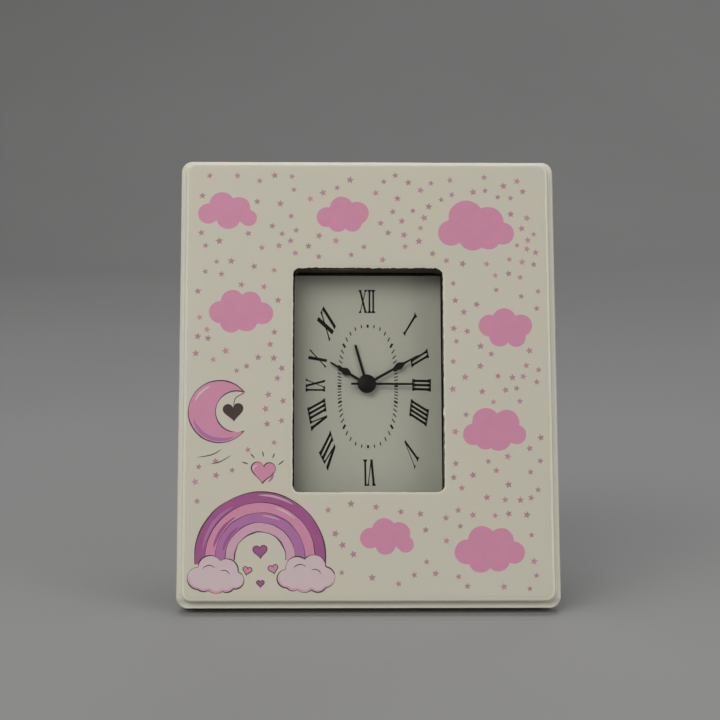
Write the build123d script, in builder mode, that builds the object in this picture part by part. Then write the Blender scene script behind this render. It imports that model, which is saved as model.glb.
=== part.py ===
from build123d import *
import os
from math import sin, cos, tan, asin, sqrt, radians, degrees, pi

os.makedirs("parts", exist_ok=True)

# ---------------------------------------------------------------------------
# Photo frame clock: a leaning wooden frame with a small alarm clock let into
# it.  Millimetres and degrees.  +Z up, the front faces -Y, and the frame
# leans back by LEAN.  Depths are measured square to the front face, from the
# face of the front panel towards the back; heights run up the frame from the
# lower edge of the back board.
# ---------------------------------------------------------------------------
LEAN = 17.45

FRAME_W, FRAME_H = 150.0, 180.0        # back board
BOARD_FRONT, BOARD_BACK = 3.0, 12.0    # depth of its two faces
BOARD_CORNER = 4.5
BOARD_ROUND = 0.9
PANEL_SIDE = 2.8                       # set-back of the front panel at the sides
PANEL_LOW, PANEL_HIGH = 2.5, 178.0
PANEL_CORNER = 4.0
FILM_T = 0.15
FILM_INSET = 0.8

OPEN_W, OPEN_H, OPEN_R = 60.0, 90.0, 3.0
CX, CV = 0.0, 90.0                     # centre of the opening and of the clock
REBATE_FRONT = 8.0
CASE_W, CASE_H = 69.0, 99.0
REBATE_GAP = 0.2
CASE_BACK = 16.5
CASE_WALL = 2.0
LIP_BACK = 9.2
LENS_T = 1.2
DIAL_FRONT = 14.5
DIAL_T = 0.5
BACKPLATE_BACK = 16.5

MOV = 56.0                             # square movement
MOV_WALL = 1.5
BASE_BACK = 17.7
SPLIT = 25.0
COVER_IN, COVER_OUT = 33.0, 34.5
PARTITION = -10.5                      # above the battery bay, from the centre

FLAT_STRIP = 0.6                       # worn flat along the lower rear edge

STAND_LEN = 120.0
STAND_X = 46.0
WIRE_R = 1.5
SLEEVE_R = 2.4
PIVOT_V, PIVOT_D = 126.0, 14.3

ca, sa = cos(radians(LEAN)), sin(radians(LEAN))

# where the frame's own origin (lower front edge line, panel-face depth) lies
z0 = BOARD_BACK * sa - FLAT_STRIP * sa * ca
pivot_z = z0 + PIVOT_V * ca - PIVOT_D * sa
foot_drop = pivot_z - SLEEVE_R
foot_run = sqrt(STAND_LEN ** 2 - foot_drop ** 2)
film_low = PANEL_LOW + FILM_INSET
y_low = film_low * sa - FILM_T * ca
y_high = PIVOT_V * sa + PIVOT_D * ca + foot_run + SLEEVE_R
y0 = -(y_low + y_high) / 2
STAND_OPEN = LEAN + degrees(asin(foot_run / STAND_LEN))   # leg to frame


def at(depth, x=0.0, v=0.0):
    """Plane parallel to the front face at a depth; local x, local y up the frame."""
    return Plane(
        origin=(x, y0 + v * sa + depth * ca, z0 + v * ca - depth * sa),
        x_dir=(1, 0, 0),
        z_dir=(0, -ca, sa),
    )


def side(x):
    """Plane square to X: local x runs up the frame, local y is the depth."""
    return Plane(
        origin=(x, y0, z0),
        x_dir=(0, sa, ca),
        z_dir=(-1, 0, 0),
    )


def point(x, v, d):
    return Vector(x, y0 + v * sa + d * ca, z0 + v * ca - d * sa)


def gear_outline(teeth, module, phase):
    """Closed outline of a fine clock wheel, teeth thinned for free running."""
    r = teeth * module / 2
    step = 360.0 / teeth
    pts = []
    for k in range(teeth):
        c = phase + k * step
        for rr, h in (
            (r - 1.15 * module, -0.24),
            (r, -0.18),
            (r + 0.85 * module, -0.08),
            (r + 0.85 * module, 0.08),
            (r, 0.18),
            (r - 1.15 * module, 0.24),
        ):
            a = radians(c + h * step)
            pts.append((rr * cos(a), rr * sin(a)))
    return pts


def in_mesh(teeth_a, phase_a, teeth_b, direction):
    """Phase of wheel b, placed in a direction from wheel a, so that teeth interleave."""
    step_a, step_b = 360.0 / teeth_a, 360.0 / teeth_b
    a = ((direction - phase_a) / step_a) % 1.0
    return direction + 180.0 - (0.5 - a) * step_b


def polar(r, ang):
    return (r * cos(radians(ang)), r * sin(radians(ang)))


# ---------------------------------------------------------------- wheel layout
# positions from the centre arbor, x to the right and y up the frame
M_CANNON, M_HOUR, M_THIRD, M_SEC, M_ROTOR, M_ALARM = 0.40, 0.384, 0.22, 0.28, 0.25, 0.40
M_CENTRE = M_THIRD * 36 / 34
MINUTE_AT = polar(9.6, 150)
SETKNOB_AT = (MINUTE_AT[0], MINUTE_AT[1] + 9.2)
ALARM_DIR = -20
ALARMKNOB_AT = polar(12.0, ALARM_DIR)
THIRD_DIR = 75
THIRD_AT = polar(36 * M_THIRD, THIRD_DIR)
INTER_DIR = 200
INTER_AT = polar(30 * M_SEC, INTER_DIR)
ROTOR_DIR = 190
_r = polar(28 * M_ROTOR, ROTOR_DIR)
ROTOR_AT = (INTER_AT[0] + _r[0], INTER_AT[1] + _r[1])

# levels (depths of the near and far faces of each wheel)
LV_A, LV_B, LV_C = (18.0, 18.9), (19.2, 20.1), (20.4, 21.3)
MID = (21.6, 22.4)
LV_D, LV_E, LV_F, LV_G = (22.7, 23.5), (23.8, 24.6), (24.9, 25.7), (26.0, 26.8)
BRIDGE = (28.2, 29.2)

POST_LOW = [(-18.0, -3.0), (12.0, 4.0), (2.0, 14.5)]       # carry the middle plate
POST_HIGH = [(-11.0, 9.0), (12.0, 4.0), (3.5, -9.2)]       # carry the bridge
CORNER_POSTS = [(-24.3, 24.2), (24.3, 24.2), (-24.3, -8.2), (24.3, -8.2)]
BOARD_POSTS = [(16.0, -4.0), (24.5, 19.0)]

# =============================================================== wooden frame
with BuildPart() as front_panel:
    with BuildSketch(at(BOARD_FRONT, 0, (PANEL_LOW + PANEL_HIGH) / 2)):
        RectangleRounded(FRAME_W - 2 * PANEL_SIDE, PANEL_HIGH - PANEL_LOW, PANEL_CORNER)
    extrude(amount=BOARD_FRONT)
    with BuildSketch(at(BOARD_FRONT, CX, CV)):
        RectangleRounded(OPEN_W, OPEN_H, OPEN_R)
    extrude(amount=BOARD_FRONT, mode=Mode.SUBTRACT)
    _n = at(0).z_dir
    _front = front_panel.faces().filter_by(lambda f: abs(f.normal_at().dot(_n)) > 0.999)
    _front = _front.sort_by(lambda f: f.center().dot(_n))[-1]
    fillet(_front.outer_wire().edges(), radius=0.6)
    _front = front_panel.faces().filter_by(lambda f: abs(f.normal_at().dot(_n)) > 0.999)
    _front = _front.sort_by(lambda f: f.center().dot(_n))[-1]
    fillet(_front.inner_wires()[0].edges(), radius=0.3)
front_panel.part.label = "front_panel"
export_step(front_panel.part, "parts/front_panel.step")

EAR_AT = [(-39.4, CV - 30), (39.4, CV - 30), (-39.4, CV + 30), (39.4, CV + 30)]
BRACKET_SCREWS_AT = [(s * 58.5, PIVOT_V + d) for s in (-1, 1) for d in (-8.5, 4.5)]

with BuildPart() as back_frame:
    with BuildSketch(at(BOARD_BACK, 0, FRAME_H / 2)):
        RectangleRounded(FRAME_W, FRAME_H, BOARD_CORNER)
    extrude(amount=BOARD_BACK - BOARD_FRONT)
    _n = at(0).z_dir
    _front = back_frame.faces().filter_by(lambda f: abs(f.normal_at().dot(_n)) > 0.999)
    _front = _front.sort_by(lambda f: f.center().dot(_n))[-1]
    fillet(_front.outer_wire().edges(), radius=BOARD_ROUND)
    with BuildSketch(at(BOARD_BACK, CX, CV)):
        RectangleRounded(OPEN_W, OPEN_H, OPEN_R)
    extrude(amount=BOARD_BACK - BOARD_FRONT, mode=Mode.SUBTRACT)
    with BuildSketch(at(BOARD_BACK, CX, CV)):
        RectangleRounded(CASE_W + 2 * REBATE_GAP, CASE_H + 2 * REBATE_GAP, 2.2)
    extrude(amount=BOARD_BACK - REBATE_FRONT, mode=Mode.SUBTRACT)
    with BuildSketch(at(BOARD_BACK)):
        with Locations(*(EAR_AT + BRACKET_SCREWS_AT)):
            Circle(1.02)
    extrude(amount=6.0, mode=Mode.SUBTRACT)
    # the lower rear edge is worn flat where the frame stands on it
    split(bisect_by=Plane.XY, keep=Keep.TOP)
back_frame.part.label = "back_frame"
export_step(back_frame.part, "parts/back_frame.step")

with BuildPart() as printed_film:
    with BuildSketch(at(0, 0, (PANEL_LOW + PANEL_HIGH) / 2)):
        RectangleRounded(
            FRAME_W - 2 * PANEL_SIDE - 2 * FILM_INSET,
            PANEL_HIGH - PANEL_LOW - 2 * FILM_INSET,
            PANEL_CORNER - 0.6,
        )
    extrude(amount=FILM_T)
    with BuildSketch(at(0, CX, CV)):
        RectangleRounded(OPEN_W + 0.8, OPEN_H + 0.8, OPEN_R + 0.4)
    extrude(amount=FILM_T, mode=Mode.SUBTRACT)
printed_film.part.label = "printed_film"
export_step(printed_film.part, "parts/printed_film.step")

# ================================================================ clock insert
with BuildPart() as clock_case:
    with BuildSketch(at(CASE_BACK, CX, CV)):
        RectangleRounded(CASE_W, CASE_H, 2.0)
    extrude(amount=CASE_BACK - REBATE_FRONT)
    with BuildSketch(at(CASE_BACK, CX, CV)):
        RectangleRounded(CASE_W - 2 * CASE_WALL, CASE_H - 2 * CASE_WALL, 0.6)
    extrude(amount=CASE_BACK - LIP_BACK, mode=Mode.SUBTRACT)
    with BuildSketch(at(LIP_BACK, CX, CV)):
        RectangleRounded(OPEN_W + 0.3, OPEN_H + 0.3, 1.2)
    extrude(amount=LIP_BACK - REBATE_FRONT, mode=Mode.SUBTRACT)
    # four fixing ears that lie on the back of the board
    with BuildSketch(at(BOARD_BACK + 1.5)):
        for _s in (-1, 1):
            with Locations((_s * (CASE_W / 2 + 4.1), CV - 30), (_s * (CASE_W / 2 + 4.1), CV + 30)):
                RectangleRounded(8.6, 10.0, 2.4)
    extrude(amount=1.5)
    with BuildSketch(at(BOARD_BACK + 1.5)):
        with Locations(*EAR_AT):
            Circle(1.3)
    extrude(amount=1.5, mode=Mode.SUBTRACT)
clock_case.part.label = "clock_case"
export_step(clock_case.part, "parts/clock_case.step")

INNER_W, INNER_H = CASE_W - 2 * CASE_WALL - 0.2, CASE_H - 2 * CASE_WALL - 0.2

with BuildPart() as clock_lens:
    with BuildSketch(at(LIP_BACK + LENS_T, CX, CV)):
        RectangleRounded(INNER_W, INNER_H, 0.6)
    extrude(amount=LENS_T)
clock_lens.part.label = "clock_lens"
export_step(clock_lens.part, "parts/clock_lens.step")

with BuildPart() as dial_spacer:
    with BuildSketch(at(DIAL_FRONT, CX, CV)):
        RectangleRounded(INNER_W, INNER_H, 0.6)
        RectangleRounded(OPEN_W + 0.3, OPEN_H + 0.1, 0.4, mode=Mode.SUBTRACT)
    extrude(amount=DIAL_FRONT - LIP_BACK - LENS_T)
dial_spacer.part.label = "dial_spacer"
export_step(dial_spacer.part, "parts/dial_spacer.step")

with BuildPart() as dial_plate:
    with BuildSketch(at(DIAL_FRONT + DIAL_T, CX, CV)):
        RectangleRounded(INNER_W, INNER_H, 0.6)
        Circle(3.1, mode=Mode.SUBTRACT)
    extrude(amount=DIAL_T)
dial_plate.part.label = "dial_plate"
export_step(dial_plate.part, "parts/dial_plate.step")

with BuildPart() as dial_backplate:
    with BuildSketch(at(BACKPLATE_BACK, CX, CV)):
        RectangleRounded(INNER_W, INNER_H, 0.6)
        Circle(4.6, mode=Mode.SUBTRACT)
        with Locations(*CORNER_POSTS):
            Circle(1.0, mode=Mode.SUBTRACT)
    extrude(amount=BACKPLATE_BACK - DIAL_FRONT - DIAL_T)
    # countersinks for the movement screws, hidden behind the dial
    for _p in CORNER_POSTS:
        with BuildSketch(at(DIAL_FRONT + DIAL_T, CX + _p[0], CV + _p[1])):
            Circle(1.9)
        with BuildSketch(at(DIAL_FRONT + DIAL_T + 0.9, CX + _p[0], CV + _p[1])):
            Circle(1.0)
        loft(mode=Mode.SUBTRACT)
dial_backplate.part.label = "dial_backplate"
export_step(dial_backplate.part, "parts/dial_backplate.step")

# =================================================================== movement
with BuildPart() as movement_base:
    with BuildSketch(at(SPLIT, CX, CV)):
        RectangleRounded(MOV, MOV, 2.0)
    extrude(amount=SPLIT - CASE_BACK)
    with BuildSketch(at(SPLIT, CX, CV + (MOV / 2 - MOV_WALL + PARTITION) / 2)):
        Rectangle(MOV - 2 * MOV_WALL, MOV / 2 - MOV_WALL - PARTITION)
    extrude(amount=SPLIT - BASE_BACK, mode=Mode.SUBTRACT)
    with BuildSketch(at(SPLIT, CX, CV + (PARTITION - 0.8 - MOV / 2 + MOV_WALL) / 2)):
        Rectangle(MOV - 2 * MOV_WALL, PARTITION - 0.8 + MOV / 2 - MOV_WALL)
    extrude(amount=SPLIT - BASE_BACK, mode=Mode.SUBTRACT)
    # collar that passes through the dial and carries the hand pipes
    with BuildSketch(at(CASE_BACK, CX, CV)):
        Circle(4.5)
    extrude(amount=CASE_BACK - DIAL_FRONT - DIAL_T - 0.2)
    # posts for the middle plate, corner screws and circuit board
    with BuildSketch(at(MID[0], CX, CV)):
        with Locations(*POST_LOW):
            Circle(1.1)
    extrude(amount=MID[0] - BASE_BACK)
    with BuildSketch(at(SPLIT, CX, CV)):
        with Locations(*CORNER_POSTS):
            Circle(2.4)
    extrude(amount=SPLIT - BASE_BACK)
    with BuildSketch(at(22.0, CX, CV)):
        with Locations(*BOARD_POSTS):
            Circle(1.1)
    extrude(amount=22.0 - BASE_BACK)
    with BuildSketch(at(SPLIT, CX, CV)):
        with Locations(*CORNER_POSTS):
            Circle(0.92)
    extrude(amount=SPLIT - CASE_BACK, mode=Mode.SUBTRACT)
    with BuildSketch(at(BASE_BACK, CX, CV)):
        Circle(2.85)
        with Locations(SETKNOB_AT, ALARMKNOB_AT):
            Circle(0.75)
    extrude(amount=BASE_BACK - DIAL_FRONT, mode=Mode.SUBTRACT)
movement_base.part.label = "movement_base"
export_step(movement_base.part, "parts/movement_base.step")

MID_BOX = (-19.6, 13.3, -10.2, 16.2)
with BuildPart() as middle_plate:
    with BuildSketch(at(MID[1], CX + (MID_BOX[0] + MID_BOX[1]) / 2, CV + (MID_BOX[2] + MID_BOX[3]) / 2)):
        RectangleRounded(MID_BOX[1] - MID_BOX[0], MID_BOX[3] - MID_BOX[2], 1.0)
    extrude(amount=MID[1] - MID[0])
    with BuildSketch(at(MID[1], CX, CV)):
        Circle(1.6)
        with Locations(SETKNOB_AT, ALARMKNOB_AT):
            Circle(1.05)
        with Locations(THIRD_AT, INTER_AT, ROTOR_AT):
            Circle(0.45)
    extrude(amount=MID[1] - MID[0], mode=Mode.SUBTRACT)
    with BuildSketch(at(BRIDGE[0], CX, CV)):
        with Locations(*POST_HIGH):
            Circle(1.1)
            Circle(0.62, mode=Mode.SUBTRACT)
    extrude(amount=BRIDGE[0] - MID[1])
    # stub that the minute wheel turns on
    with BuildSketch(at(MID[0], CX, CV)):
        with Locations(MINUTE_AT):
            Circle(0.6)
    extrude(amount=MID[0] - LV_B[0])
middle_plate.part.label = "middle_plate"
export_step(middle_plate.part, "parts/middle_plate.step")

BR_BOX = (-18.6, 13.3, -10.2, 12.2)
with BuildPart() as train_bridge:
    with BuildSketch(at(BRIDGE[1], CX + (BR_BOX[0] + BR_BOX[1]) / 2, CV + (BR_BOX[2] + BR_BOX[3]) / 2)):
        RectangleRounded(BR_BOX[1] - BR_BOX[0], BR_BOX[3] - BR_BOX[2], 1.5)
    extrude(amount=BRIDGE[1] - BRIDGE[0])
    with BuildSketch(at(BRIDGE[1], CX, CV)):
        Circle(0.55)
        with Locations(THIRD_AT, INTER_AT, ROTOR_AT):
            Circle(0.45)
        with Locations(ALARMKNOB_AT):
            Circle(1.05)
        with Locations(*POST_HIGH):
            Circle(0.65)
    extrude(amount=BRIDGE[1] - BRIDGE[0], mode=Mode.SUBTRACT)
train_bridge.part.label = "train_bridge"
export_step(train_bridge.part, "parts/train_bridge.step")

DOOR_TOP = -10.9
SWITCH_AT = (21.0, 11.0)
SWITCH_TRAVEL = 4.0
BUZZER_AT = (7.0, 16.0)
with BuildPart() as rear_case:
    with BuildSketch(at(COVER_OUT, CX, CV)):
        RectangleRounded(MOV, MOV, 2.0)
    extrude(amount=COVER_OUT - SPLIT)
    _n = at(0).z_dir
    _back = rear_case.faces().filter_by(lambda f: abs(f.normal_at().dot(_n)) > 0.999)
    _back = _back.sort_by(lambda f: f.center().dot(_n))[0]
    fillet(_back.outer_wire().edges(), radius=0.8)
    with BuildSketch(at(COVER_IN, CX, CV + (MOV / 2 - MOV_WALL + PARTITION) / 2)):
        Rectangle(MOV - 2 * MOV_WALL, MOV / 2 - MOV_WALL - PARTITION)
    extrude(amount=COVER_IN - SPLIT, mode=Mode.SUBTRACT)
    # battery bay, open at the back and closed by the sliding door
    with BuildSketch(at(COVER_OUT, CX, CV + (PARTITION - 0.8 - MOV / 2 + MOV_WALL) / 2)):
        Rectangle(MOV - 2 * MOV_WALL, PARTITION - 0.8 + MOV / 2 - MOV_WALL)
    extrude(amount=COVER_OUT - SPLIT, mode=Mode.SUBTRACT)
    # door seat: runs out through the lower edge, with a groove in each side wall
    with BuildSketch(at(COVER_OUT, CX, CV + (DOOR_TOP - MOV / 2 - 1) / 2 + 0.0)):
        Rectangle(MOV - 2 * MOV_WALL, DOOR_TOP + MOV / 2 + 1)
    extrude(amount=COVER_OUT - 32.9, mode=Mode.SUBTRACT)
    with BuildSketch(at(33.75, CX, CV + (DOOR_TOP - MOV / 2 - 1) / 2)):
        Rectangle(MOV - 2 * MOV_WALL + 1.6, DOOR_TOP + MOV / 2 + 1)
    extrude(amount=0.85, mode=Mode.SUBTRACT)
    with BuildSketch(at(COVER_IN, CX, CV)):
        with Locations(*CORNER_POSTS):
            Circle(2.4)
    extrude(amount=COVER_IN - SPLIT)
    with BuildSketch(at(COVER_IN, CX + BUZZER_AT[0], CV + BUZZER_AT[1])):
        Circle(8.4)
        Circle(7.4, mode=Mode.SUBTRACT)
    extrude(amount=1.4)
    with BuildSketch(at(COVER_OUT, CX, CV)):
        with Locations(*CORNER_POSTS):
            Circle(1.0)
        with Locations(SETKNOB_AT, ALARMKNOB_AT):
            Circle(1.05)
        with Locations(BUZZER_AT):
            Circle(0.7)
            with PolarLocations(3.0, 6):
                Circle(0.7)
        with Locations((SWITCH_AT[0], SWITCH_AT[1] + SWITCH_TRAVEL / 2)):
            SlotOverall(SWITCH_TRAVEL + 3.4, 2.4, rotation=90)
    extrude(amount=COVER_OUT - SPLIT, mode=Mode.SUBTRACT)
    # screw heads sit in shallow pockets
    with BuildSketch(at(COVER_OUT, CX, CV)):
        with Locations(*CORNER_POSTS):
            Circle(1.9)
    extrude(amount=1.3, mode=Mode.SUBTRACT)
rear_case.part.label = "rear_case"
export_step(rear_case.part, "parts/rear_case.step")

with BuildPart() as battery_door:
    with BuildSketch(at(34.4, CX, CV + (DOOR_TOP - 0.2 - MOV / 2) / 2)):
        Rectangle(MOV - 2 * MOV_WALL - 0.4, DOOR_TOP - 0.2 + MOV / 2)
    extrude(amount=1.35)
    with BuildSketch(at(33.6, CX, CV + (DOOR_TOP - 0.2 - MOV / 2) / 2)):
        Rectangle(MOV - 2 * MOV_WALL + 1.2, DOOR_TOP - 0.2 + MOV / 2)
    extrude(amount=0.55)
    # thumb ribs
    with BuildSketch(at(34.9, CX, CV)):
        with Locations(*[(0, -14.5 - 1.6 * _i) for _i in range(5)]):
            SlotOverall(12.0 - 0.0, 0.7)
    extrude(amount=0.6)
battery_door.part.label = "battery_door"
export_step(battery_door.part, "parts/battery_door.step")

# ------------------------------------------------------------- hand pipes
PIPE_MIN_IN, PIPE_MIN_OUT = 0.55, 1.2
PIPE_HR_IN, PIPE_HR_OUT = 1.25, 2.0
PIPE_AL_IN, PIPE_AL_OUT = 2.05, 2.8

with BuildPart() as seconds_wheel:
    with BuildSketch(at(28.9, CX, CV)):
        Circle(0.5)
    extrude(amount=28.9 - 11.2)
    with BuildSketch(at(LV_E[1], CX, CV)):
        Polygon(*gear_outline(8, M_THIRD, 0))
    extrude(amount=LV_E[1] - LV_E[0])
    with BuildSketch(at(LV_F[1], CX, CV)):
        Polygon(*gear_outline(50, M_SEC, 0))
        with PolarLocations(4.0, 5):
            Circle(1.5, mode=Mode.SUBTRACT)
    extrude(amount=LV_F[1] - LV_F[0])
    with BuildSketch(at(LV_F[0], CX, CV)):
        Circle(1.1)
    extrude(amount=LV_F[0] - LV_E[1])
seconds_wheel.part.label = "seconds_wheel"
export_step(seconds_wheel.part, "parts/seconds_wheel.step")

with BuildPart() as cannon_pinion:
    with BuildSketch(at(23.7, CX, CV)):
        Circle(PIPE_MIN_OUT)
    extrude(amount=23.7 - 11.95)
    with BuildSketch(at(LV_C[1], CX, CV)):
        Polygon(*gear_outline(12, M_CANNON, 0))
    extrude(amount=LV_C[1] - LV_C[0])
    with BuildSketch(at(23.7, CX, CV)):
        Circle(PIPE_MIN_IN)
    extrude(amount=23.7 - 11.9, mode=Mode.SUBTRACT)
cannon_pinion.part.label = "cannon_pinion"
export_step(cannon_pinion.part, "parts/cannon_pinion.step")

with BuildPart() as centre_wheel:
    with BuildSketch(at(LV_D[1], CX, CV)):
        Polygon(*gear_outline(60, M_CENTRE, 0))
        Circle(1.25, mode=Mode.SUBTRACT)
        with PolarLocations(4.1, 4):
            Circle(1.5, mode=Mode.SUBTRACT)
    extrude(amount=LV_D[1] - LV_D[0])
centre_wheel.part.label = "centre_wheel"
export_step(centre_wheel.part, "parts/centre_wheel.step")

with BuildPart() as hour_wheel:
    with BuildSketch(at(LV_B[1], CX, CV)):
        Circle(PIPE_HR_OUT)
    extrude(amount=LV_B[1] - 12.65)
    with BuildSketch(at(LV_B[1], CX, CV)):
        Polygon(*gear_outline(40, M_HOUR, 0))
        with PolarLocations(4.6, 5):
            Circle(1.5, mode=Mode.SUBTRACT)
    extrude(amount=LV_B[1] - LV_B[0])
    with BuildSketch(at(LV_B[1], CX, CV)):
        Circle(PIPE_HR_IN)
    extrude(amount=LV_B[1] - 12.0, mode=Mode.SUBTRACT)
hour_wheel.part.label = "hour_wheel"
export_step(hour_wheel.part, "parts/hour_wheel.step")

with BuildPart() as alarm_wheel:
    with BuildSketch(at(LV_A[1], CX, CV)):
        Circle(PIPE_AL_OUT)
    extrude(amount=LV_A[1] - 13.4)
    with BuildSketch(at(LV_A[1], CX, CV)):
        Polygon(*gear_outline(48, M_ALARM, 0))
        with PolarLocations(6.0, 6):
            Circle(1.8, mode=Mode.SUBTRACT)
    extrude(amount=LV_A[1] - LV_A[0])
    with BuildSketch(at(LV_A[1], CX, CV)):
        Circle(PIPE_AL_IN)
    extrude(amount=LV_A[1] - 13.0, mode=Mode.SUBTRACT)
alarm_wheel.part.label = "alarm_wheel"
export_step(alarm_wheel.part, "parts/alarm_wheel.step")

PH_MINUTE = in_mesh(12, 0, 36, 150)
PH_MINPIN = in_mesh(40, 0, 10, 150)
with BuildPart() as minute_wheel:
    with BuildSketch(at(LV_C[1], CX + MINUTE_AT[0], CV + MINUTE_AT[1])):
        Polygon(*gear_outline(36, M_CANNON, PH_MINUTE))
        with PolarLocations(4.3, 5):
            Circle(1.5, mode=Mode.SUBTRACT)
    extrude(amount=LV_C[1] - LV_C[0])
    with BuildSketch(at(LV_C[0], CX + MINUTE_AT[0], CV + MINUTE_AT[1])):
        Polygon(*gear_outline(10, M_HOUR, PH_MINPIN))
    extrude(amount=LV_C[0] - LV_B[0])
    with BuildSketch(at(LV_C[1], CX + MINUTE_AT[0], CV + MINUTE_AT[1])):
        Circle(0.65)
    extrude(amount=LV_C[1] - LV_B[0], mode=Mode.SUBTRACT)
minute_wheel.part.label = "minute_wheel"
export_step(minute_wheel.part, "parts/minute_wheel.step")

PH_THIRD = in_mesh(8, 0, 64, THIRD_DIR)
PH_THIRDPIN = in_mesh(60, 0, 8, THIRD_DIR)
with BuildPart() as third_wheel:
    with BuildSketch(at(28.9, CX + THIRD_AT[0], CV + THIRD_AT[1])):
        Circle(0.4)
    extrude(amount=28.9 - 21.7)
    with BuildSketch(at(LV_E[0], CX + THIRD_AT[0], CV + THIRD_AT[1])):
        Polygon(*gear_outline(8, M_CENTRE, PH_THIRDPIN))
    extrude(amount=LV_E[0] - LV_D[0])
    with BuildSketch(at(LV_E[1], CX + THIRD_AT[0], CV + THIRD_AT[1])):
        Polygon(*gear_outline(64, M_THIRD, PH_THIRD))
        with PolarLocations(4.2, 5):
            Circle(1.5, mode=Mode.SUBTRACT)
    extrude(amount=LV_E[1] - LV_E[0])
third_wheel.part.label = "third_wheel"
export_step(third_wheel.part, "parts/third_wheel.step")

PH_INTERPIN = in_mesh(50, 0, 10, INTER_DIR)
with BuildPart() as intermediate_wheel:
    with BuildSketch(at(28.9, CX + INTER_AT[0], CV + INTER_AT[1])):
        Circle(0.4)
    extrude(amount=28.9 - 21.7)
    with BuildSketch(at(LV_G[0], CX + INTER_AT[0], CV + INTER_AT[1])):
        Polygon(*gear_outline(10, M_SEC, PH_INTERPIN))
    extrude(amount=LV_G[0] - LV_F[0])
    with BuildSketch(at(LV_G[1], CX + INTER_AT[0], CV + INTER_AT[1])):
        Polygon(*gear_outline(48, M_ROTOR, 0))
        with PolarLocations(3.6, 5):
            Circle(1.2, mode=Mode.SUBTRACT)
    extrude(amount=LV_G[1] - LV_G[0])
intermediate_wheel.part.label = "intermediate_wheel"
export_step(intermediate_wheel.part, "parts/intermediate_wheel.step")

PH_ROTOR = in_mesh(48, 0, 8, ROTOR_DIR)
with BuildPart() as rotor_pinion:
    with BuildSketch(at(28.9, CX + ROTOR_AT[0], CV + ROTOR_AT[1])):
        Circle(0.4)
    extrude(amount=28.9 - 21.7)
    with BuildSketch(at(LV_G[1], CX + ROTOR_AT[0], CV + ROTOR_AT[1])):
        Polygon(*gear_outline(8, M_ROTOR, PH_ROTOR))
    extrude(amount=LV_G[1] - LV_G[0])
rotor_pinion.part.label = "rotor_pinion"
export_step(rotor_pinion.part, "parts/rotor_pinion.step")

with BuildPart() as rotor_magnet:
    with BuildSketch(at(25.5, CX + ROTOR_AT[0], CV + ROTOR_AT[1])):
        Circle(2.6)
        Circle(0.41, mode=Mode.SUBTRACT)
    extrude(amount=2.6)
rotor_magnet.part.label = "rotor_magnet"
export_step(rotor_magnet.part, "parts/rotor_magnet.step")

# ------------------------------------------------------------- motor
COIL_X = -23.0
with BuildPart() as stator_plate:
    with BuildSketch(at(24.7, CX, CV)):
        with Locations((ROTOR_AT[0], 4.0)):
            Rectangle(3.4, 26.0)
        with Locations(((COIL_X - 1.5 + ROTOR_AT[0] + 1.7) / 2, 15.5)):
            Rectangle(ROTOR_AT[0] + 1.7 - COIL_X + 1.5, 3.0)
        with Locations(((COIL_X - 1.5 + ROTOR_AT[0]) / 2, -4.1)):
            Rectangle(ROTOR_AT[0] - COIL_X + 1.5, 3.0)
        with Locations(ROTOR_AT):
            Circle(4.6)
            Circle(3.0, mode=Mode.SUBTRACT)
    extrude(amount=1.0)
stator_plate.part.label = "stator_plate"
export_step(stator_plate.part, "parts/stator_plate.step")

with BuildPart() as coil_core:
    with BuildSketch(at(25.7, CX + COIL_X, CV + 5.7)):
        Rectangle(3.0, 22.4)
    extrude(amount=1.0)
coil_core.part.label = "coil_core"
export_step(coil_core.part, "parts/coil_core.step")


def across(v):
    """Plane square to the height of the frame, local x = X, local y = depth."""
    return Plane(
        origin=(0, y0 + v * sa, z0 + v * ca),
        x_dir=(1, 0, 0),
        z_dir=(0, sa, ca),
    )


with BuildPart() as coil_bobbin:
    for _v0, _v1, _w, _h, _r in (
        (-2.3, -1.3, 6.2, 5.4, 0.5),
        (-1.3, 12.5, 4.2, 2.2, 0.3),
        (12.5, 13.5, 6.2, 5.4, 0.5),
    ):
        with BuildSketch(across(CV + _v0)):
            with Locations((COIL_X, 25.2)):
                RectangleRounded(_w, _h, _r)
        extrude(amount=_v1 - _v0)
    with BuildSketch(across(CV - 2.3)):
        with Locations((COIL_X, 25.2)):
            Rectangle(3.1, 1.1)
    extrude(amount=15.8, mode=Mode.SUBTRACT)
coil_bobbin.part.label = "coil_bobbin"
export_step(coil_bobbin.part, "parts/coil_bobbin.step")

with BuildPart() as coil_winding:
    with BuildSketch(across(CV - 1.25)):
        with Locations((COIL_X, 25.2)):
            RectangleRounded(5.8, 5.0, 1.2)
            RectangleRounded(4.26, 2.26, 0.3, mode=Mode.SUBTRACT)
    extrude(amount=13.7)
coil_winding.part.label = "coil_winding"
export_step(coil_winding.part, "parts/coil_winding.step")

# ------------------------------------------------------------- electronics
with BuildPart() as circuit_board:
    with BuildSketch(at(23.0, CX + 19.9, CV + 7.5)):
        Rectangle(12.2, 26.0)
    extrude(amount=1.0)
circuit_board.part.label = "circuit_board"
export_step(circuit_board.part, "parts/circuit_board.step")

with BuildPart() as chip_blob:
    with BuildSketch(at(23.0, CX + 17.5, CV - 0.5)):
        Circle(2.6)
    with BuildSketch(at(24.0, CX + 17.5, CV - 0.5)):
        Circle(1.7)
    loft()
chip_blob.part.label = "chip_blob"
export_step(chip_blob.part, "parts/chip_blob.step")

with BuildPart() as quartz_crystal:
    with BuildSketch(across(CV - 2.8)):
        with Locations((23.2, 24.05)):
            Circle(1.0)
    extrude(amount=6.0)
quartz_crystal.part.label = "quartz_crystal"
export_step(quartz_crystal.part, "parts/quartz_crystal.step")

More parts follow.
